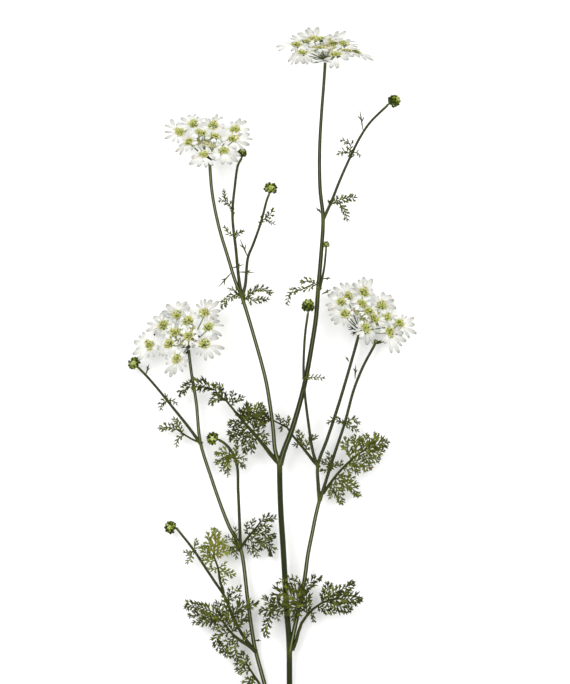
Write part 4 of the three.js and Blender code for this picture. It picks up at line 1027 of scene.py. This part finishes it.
def floret(parts, foot, root, up, tone):
    """A floret's stalk, its ovary and its heart, with two pale anthers."""
    stalk = (root - foot).normalized()
    lean = anywhere().cross(up).normalized()
    stick_out(parts["rays"], hair_stalk, foot, stalk, lean, (root - foot).length, FLORET_STALK * MM, 0,
              0.9)
    stick_out(parts["hearts"], heart, root - stalk * OVARY_DEPTH * MM, stalk, lean, OVARY_LENGTH * MM,
              OVARY_WIDTH * MM, 0, draw.uniform(0.4, 0.95))
    stick_out(parts["hearts"], heart, root + up * 0.1 * MM, up, lean, HEART_HEIGHT * MM, HEART_WIDTH * MM,
              0, tone)
    for turn in (-1, 1):
        away = (lean * turn + up.cross(lean) * draw.uniform(-1, 1)).normalized()
        tip = root + away * 1.2 * MM + up * 1.1 * MM
        stick_out(parts["anthers"], bead, tip, away, up, ANTHER_LENGTH * MM, ANTHER_WIDTH * MM)


def lobed_petal(parts, root, away, up, length, curl, tone, thinness):
    """A large petal: two lobes that part from one foot. Thinner ones are greyer at tip and rim."""
    side = up.cross(away).normalized()
    for sign in (-1, 1):
        forward = (away + side * sign * draw.uniform(0.2, 0.4)).normalized()
        stick_out(parts["petals"], petal_lobe, root, forward, up + side * sign * draw.uniform(-0.4, 0.25),
                  length * draw.uniform(0.86, 1.0) * MM, (0.3 * length + 0.6) * draw.uniform(0.6, 1.1) * MM,
                  curl, tone * thinness)
        for key in ("along", "mark"):
            parts["petals"][key][-1] = parts["petals"][key][-1] * thinness


def small_petals(parts, root, away, up, turns, reach, rise):
    """The small petals of a floret. reach is in mm."""
    for turn in turns:
        petal_away = turned(away, up.cross(away), turn) + up * rise
        stick_out(parts["small_petals"], small_petal, root, petal_away, up,
                  reach * draw.uniform(0.8, 1.2) * MM, 0.75 * reach * MM, 0.3, draw.uniform(0, 0.6))


def small_umbel(parts, centre, up, outward, outer_share):
    """A tuft of florets. outward points out of the head, along which its petals are longest."""
    across = up.cross(outward)
    foot = centre - up * UMBEL_DEPTH * MM
    turn_by = draw.uniform(0, 2 * math.pi)
    for k in range(SMALL_BRACTS):
        turn = turn_by + k * 2 * math.pi / SMALL_BRACTS
        away = turned(outward, across, turn)
        stick_out(parts["rays"], leaf_lobe, foot, (away - up * 0.1).normalized(), up,
                  draw.uniform(3.2, 4.6) * MM, 1.1 * MM, 0.25, 0.1)
    for k in range(INNER_FLORETS):
        turn = turn_by + k * 2 * math.pi / INNER_FLORETS
        away = turned(outward, across, turn)
        root = centre + away * (draw.uniform(1.2, 2.3) if k else 0.2) * MM
        root = root + up * draw.uniform(0.2, 1.0) * MM
        floret(parts, foot, root, up, draw.choice((0.0, 0.15, 0.5)))
        small_petals(parts, root, away, up, (-1.0, 1.0), 2.0, 0.3)
    for k in range(OUTER_FLORETS):
        turn = (k + draw.uniform(0.3, 0.7)) * 2 * math.pi / OUTER_FLORETS
        away = turned(outward, across, turn)
        root = centre + away * FLORET_RING * draw.uniform(0.75, 1.45) * MM
        root = root + up * draw.uniform(-0.5, 0.5) * MM
        floret(parts, foot, root, up, draw.choice((0.0, 0.2, 0.75)))
        outwardness = (1 + math.cos(turn)) / 2
        reach = PETAL_REACH + outer_share * EXTRA_REACH * outwardness**1.5
        length = (reach - FLORET_RING) * draw.uniform(0.8, 1.06)
        tilt = draw.uniform(-0.55, 0.3) * (0.5 + 0.5 * outwardness * outer_share)
        lobed_petal(parts, root, (away + up * tilt).normalized(), up - away * tilt, length,
                    draw.uniform(-0.25, 0.05), draw.uniform(0, 1),
                    min(1, 0.3 + 1.2 * outwardness * outer_share))
        small_petals(parts, root, away, up, (-1.3, 1.3), 2.6, 0.15)


def young_umbel(parts, foot, centre, up):
    """A tuft of florets that has just begun to open: cream, with a few short white petals."""
    ray = centre - up * 1.5 * MM - foot
    stick_out(parts["rays"], hair_stalk, foot, ray, up, ray.length, 0.3 * MM, 0, 0.9)
    for _ in range(YOUNG_FLORETS):
        lean = anywhere().cross(up)
        root = centre + lean * 2.3 * MM
        away = (lean + up * 0.4).normalized()
        stick_out(parts["anthers"], bead, root, up + lean * 0.5, away.orthogonal(), 1.3 * MM, 1.1 * MM)
        small_petals(parts, root, away, up, (-1.5, 0.2, 1.8), 2.2, 0.3)
    for _ in range(YOUNG_PETALS):
        away = anywhere().cross(up).normalized()
        lobed_petal(parts, centre + away * MM, (away - up * draw.uniform(-0.3, 0.9)).normalized(), up,
                    draw.uniform(3.5, 6), -0.1, 0, 0.1)


# %% Grow the flower heads
RAY_RADIUS = 0.42  # mm
DROOP = 0.42  # how far the free umbels lean out of a head that faces up
PRESSED = 0.8  # how far those that rest on the table are turned flat
UNRULINESS = 0.22  # no two of them face quite the same way

HEAD_PARTS = {  # the end of the piece's name, its slot and its finish
    "petals": ("_petals", "petal_white", petal_finish),
    "small_petals": ("_small_petals", "petal_white", cream_finish),
    "hearts": ("_floret_hearts", "bud_green", heart_finish),
    "anthers": ("_anthers", "petal_white", anther_finish),
    "rays": ("_rays", "stem_green", ray_finish),
}
KNOB_LENGTH, KNOB_WIDTH = 3.4, 3.2  # mm, of the knob that the rays leave

for name, (base, facing, umbels, bract_tips) in HEADS.items():
    parts = {title: new_growth() for title in HEAD_PARTS}
    axis = Vector(facing).normalized()
    foot = place(base)
    middle = sum((place(umbel) for umbel in umbels), Vector()) / len(umbels)
    for umbel in umbels:
        centre = place(umbel)
        outward = centre - middle
        outward -= axis * outward.dot(axis)
        outer_share = min(1, outward.length / (HEAD_RADIUS * MM))
        leaning = outward.normalized() * DROOP if outward.z > 0 else UP * PRESSED
        unruly = anywhere() * UNRULINESS
        up = (axis + leaning * outer_share * (0.3 + 0.7 * axis.z) + unruly).normalized()
        flat_outward = (outward - up * outward.dot(up)).normalized()
        bow = foot + (centre - foot) * 0.5 + outward * 0.08
        ray = [tuple(spot / MM - CENTRING) for spot in (foot, bow, centre - up * 2.4 * MM)]
        lay_along(parts["rays"], plain_stalk, route_through(ray, 8),
                  lambda share: (1.25 - 0.25 * share) * RAY_RADIUS * MM, 0.75)
        small_umbel(parts, centre, up, flat_outward, outer_share)
    for k in range(YOUNG_UMBELS):
        aside = axis.orthogonal().normalized() * YOUNG_REACH * math.sqrt(k / YOUNG_UMBELS) * MM
        aside.rotate(Quaternion(axis, GOLDEN_TURN * k + draw.uniform(0, 0.5)))
        spot = middle + (foot - middle) * YOUNG_SHIFT + aside + UP * draw.uniform(0, 3) * MM
        young_umbel(parts, foot, spot, axis)
    for tip in bract_tips:
        bract(parts["rays"], foot - axis * 0.8 * MM, place(tip), axis, 0.5, 0.0)
    stick_out(parts["rays"], bead, foot - axis * KNOB_LENGTH / 2 * MM, axis, axis.orthogonal(),
              KNOB_LENGTH * MM, KNOB_WIDTH * MM, 0, 0.6)
    for spot in DARK_FLORETS.get(name, ()):
        stick_out(parts["hearts"], bead, place(spot), axis, axis.orthogonal(), 1.8 * MM, 1.8 * MM, 0, 2.0)
    for title, (ending, slot, finish) in HEAD_PARTS.items():
        grown(parts[title], name + ending, name, finish)

# %% [markdown]
# ## Buds
# A bud is a head before it opens: a ball of unopened florets that lean towards its pale middle. Narrow dark
# bracts are pressed round it from its foot, and their free tips stand off it a little.

# %% Buds: the base, the direction, the radius and the length
BUDS = {
    "bud_1": ((93, 252.6, 16.9), (0.86, 0.5, -0.06), 4.6, 10),
    "bud_2": ((-24.4, 209.6, 17.6), (0.15, 0.98, -0.1), 3.4, 7.4),
    "bud_3": ((-2.2, 180.6, 26.5), (0.25, 0.96, 0.12), 5, 8.4),
    "bud_4": ((28.8, 85.4, 26), (0.02, 1, 0.05), 4.8, 10.6),
    "bud_5": ((-43, -15.8, 14.7), (-0.95, 0.2, 0.2), 5, 8.6),
    "bud_6": ((-107.4, 42, 9.6), (-0.68, 0.72, 0), 5, 8.4),
    "bud_7": ((-76.9, -87, 9), (-0.97, 0.15, 0), 5, 8.4),
    "bud_8": ((43.2, 137.2, 28.6), (0.02, 1, 0.1), 2.6, 5.4),
    "bud_9": ((82.8, 61, 6), (0.3, 0.9, 0.1), 1.7, 3.4),
}
BUD_9_ARMS = ((78, 66, 7.5), (91.6, 64.2, 7.5))

# %% Grow the buds
BUD_BRACTS = 9
BUD_FLORETS = 28
STAR_FLORETS = 5  # pale ones that part in the middle of a bud
SEEN_FROM_THE_SIDE = ("bud_1", "bud_2", "bud_4")  # the others turn their middle up
NECK_LENGTH = 2.2  # mm, of the stalk's last piece
BUD_MIDDLE = 0.52  # of its length, from its foot
CORE_LENGTH, CORE_WIDTH = 0.82, 1.3  # of its length and its radius, for the green body inside
FLORET_SHELL = 0.8  # of its radius, where the florets sit
ARM_FLORETS = (0.5, 0.7, 0.9)  # where bud_9's arms carry florets


def bud_spot(share, turn, axis, outward):
    """A direction on the bud's ball: share 0 is its top and 1 its foot."""
    polar = math.pi * share
    return turned(axis, turned(outward, outward.cross(axis), turn), polar)


for name, (base, towards, radius, length) in BUDS.items():
    growth = new_growth()
    axis = Vector(towards).normalized()
    outward = axis.orthogonal().normalized()
    foot = place(base)
    middle = foot + axis * BUD_MIDDLE * length * MM
    facing = (axis + UP * 0.9 if name in SEEN_FROM_THE_SIDE else axis * 0.15 + UP).normalized()
    stick_out(growth, plain_stalk, foot - axis * NECK_LENGTH * 0.6 * MM, axis, outward, NECK_LENGTH * MM,
              0.8 * MM, 0, 0.1)
    stick_out(growth, heart, foot + axis * 0.08 * length * MM, axis, outward, CORE_LENGTH * length * MM,
              CORE_WIDTH * radius * MM, 0, 0.0)
    for k in range(BUD_FLORETS):
        share = math.acos(1 - 1.7 * (k + 0.5) / BUD_FLORETS) / math.pi
        away = bud_spot(share, GOLDEN_TURN * k, axis, outward)
        out = axis * axis.dot(away) * (0.44 * length - FLORET_SHELL * radius) + away * FLORET_SHELL * radius
        size = radius * draw.uniform(0.44, 0.6)
        paleness = 0.7 * max(0, away.dot(facing)) + draw.uniform(-0.35, 0.2)
        inwards = (facing - away * away.dot(facing)).normalized()
        stick_out(growth, bead, middle + out * MM - inwards * 0.6 * size * MM, inwards + away * 0.3, away,
                  1.5 * size * MM, 0.8 * size * MM, 0, max(0, min(0.7, paleness)))
    across = facing.orthogonal().normalized()
    for k in range(STAR_FLORETS):
        turn = 2 * math.pi * (k + draw.uniform(-0.2, 0.2)) / STAR_FLORETS
        ring = turned(across, facing.cross(across), turn)
        root = middle + facing * 0.9 * radius * MM
        stick_out(growth, bead, root, (ring + facing * 0.4).normalized(), facing, 0.42 * radius * MM,
                  0.26 * radius * MM, 0, draw.uniform(0.75, 1.0))
    for k in range(BUD_BRACTS):
        turn = (k + draw.uniform(-0.2, 0.2)) * 2 * math.pi / BUD_BRACTS
        low, high = (bud_spot(share, turn, axis, outward) for share in (0.93, draw.uniform(0.2, 0.4)))
        root = middle + low * 0.8 * radius * MM
        tip = middle + high * radius * draw.uniform(1.05, 1.2) * MM
        up = bud_spot(0.6, turn, axis, outward)
        stick_out(growth, leaf_lobe, root, tip - root, up, (tip - root).length, 0.34 * radius * MM, 0, 0.0)
    if name == "bud_9":
        for tip in BUD_9_ARMS:
            arm = Vector(tip) - Vector(base)
            stick_out(growth, leaf_lobe, foot, arm, UP, arm.length * 1.1 * MM, 2.4 * MM, 0.1, 0.0)
            stick_out(growth, heart, foot, arm, UP, arm.length * 0.9 * MM, 1.8 * MM, 0, 0.0)
            for share in ARM_FLORETS:
                away = Vector((draw.uniform(-1, 1), draw.uniform(-1, 1), 0.6)).normalized()
                stick_out(growth, bead, foot + arm * share * MM, away, UP, 1.7 * MM, 1.5 * MM, 0, 0.15)
    grown(growth, name + "_bracts_and_florets", name, bud_finish)

# %% [markdown]
# ## Table and light
# A pale matt table and large soft lights all round, as for a flat lay: the shadows are faint, and the white
# petals still show against the table because they are thin and a little grey.

# %% Table
table_finish, tree, carried = new_finish("matt white board")
board = add_node(tree, "ShaderNodeBsdfPrincipled", {}, {"Base Color": linear("#FBFBFA"), "Roughness": 0.9})
add_node(tree, "ShaderNodeOutputMaterial", {}, {"Surface": board.outputs["BSDF"]})
deselect_all()
bpy.ops.mesh.primitive_plane_add(size=8)
table = bpy.context.object
table.name = "table"
table.data.materials.append(table_finish)

# %% Light
scene = bpy.context.scene
scene.view_settings.view_transform = "Standard"
scene.world = bpy.data.worlds.new("soft room")
scene.world.use_nodes = True
tree = scene.world.node_tree
tree.nodes.clear()
glow = add_node(tree, "ShaderNodeBackground", {}, {"Color": linear("#FFFFFF"), "Strength": 0.92})
add_node(tree, "ShaderNodeOutputWorld", {}, {"Surface": glow.outputs["Background"]})

SOFTBOXES = (  # place in metres, side in metres, power in watts
    ((-1.4, 1.2, 2.2), 1.6, 44.0),
    ((1.6, 0.6, 1.9), 1.6, 20.0),
)
for spot, side, power in SOFTBOXES:
    softbox = bpy.data.lights.new("softbox", "AREA")
    softbox.size = side
    softbox.energy = power
    lamp = bpy.data.objects.new("softbox", softbox)
    lamp.location = spot
    lamp.rotation_euler = Vector(spot).to_track_quat("Z", "Y").to_euler()
    scene.collection.objects.link(lamp)
print("softboxes:", len(SOFTBOXES))
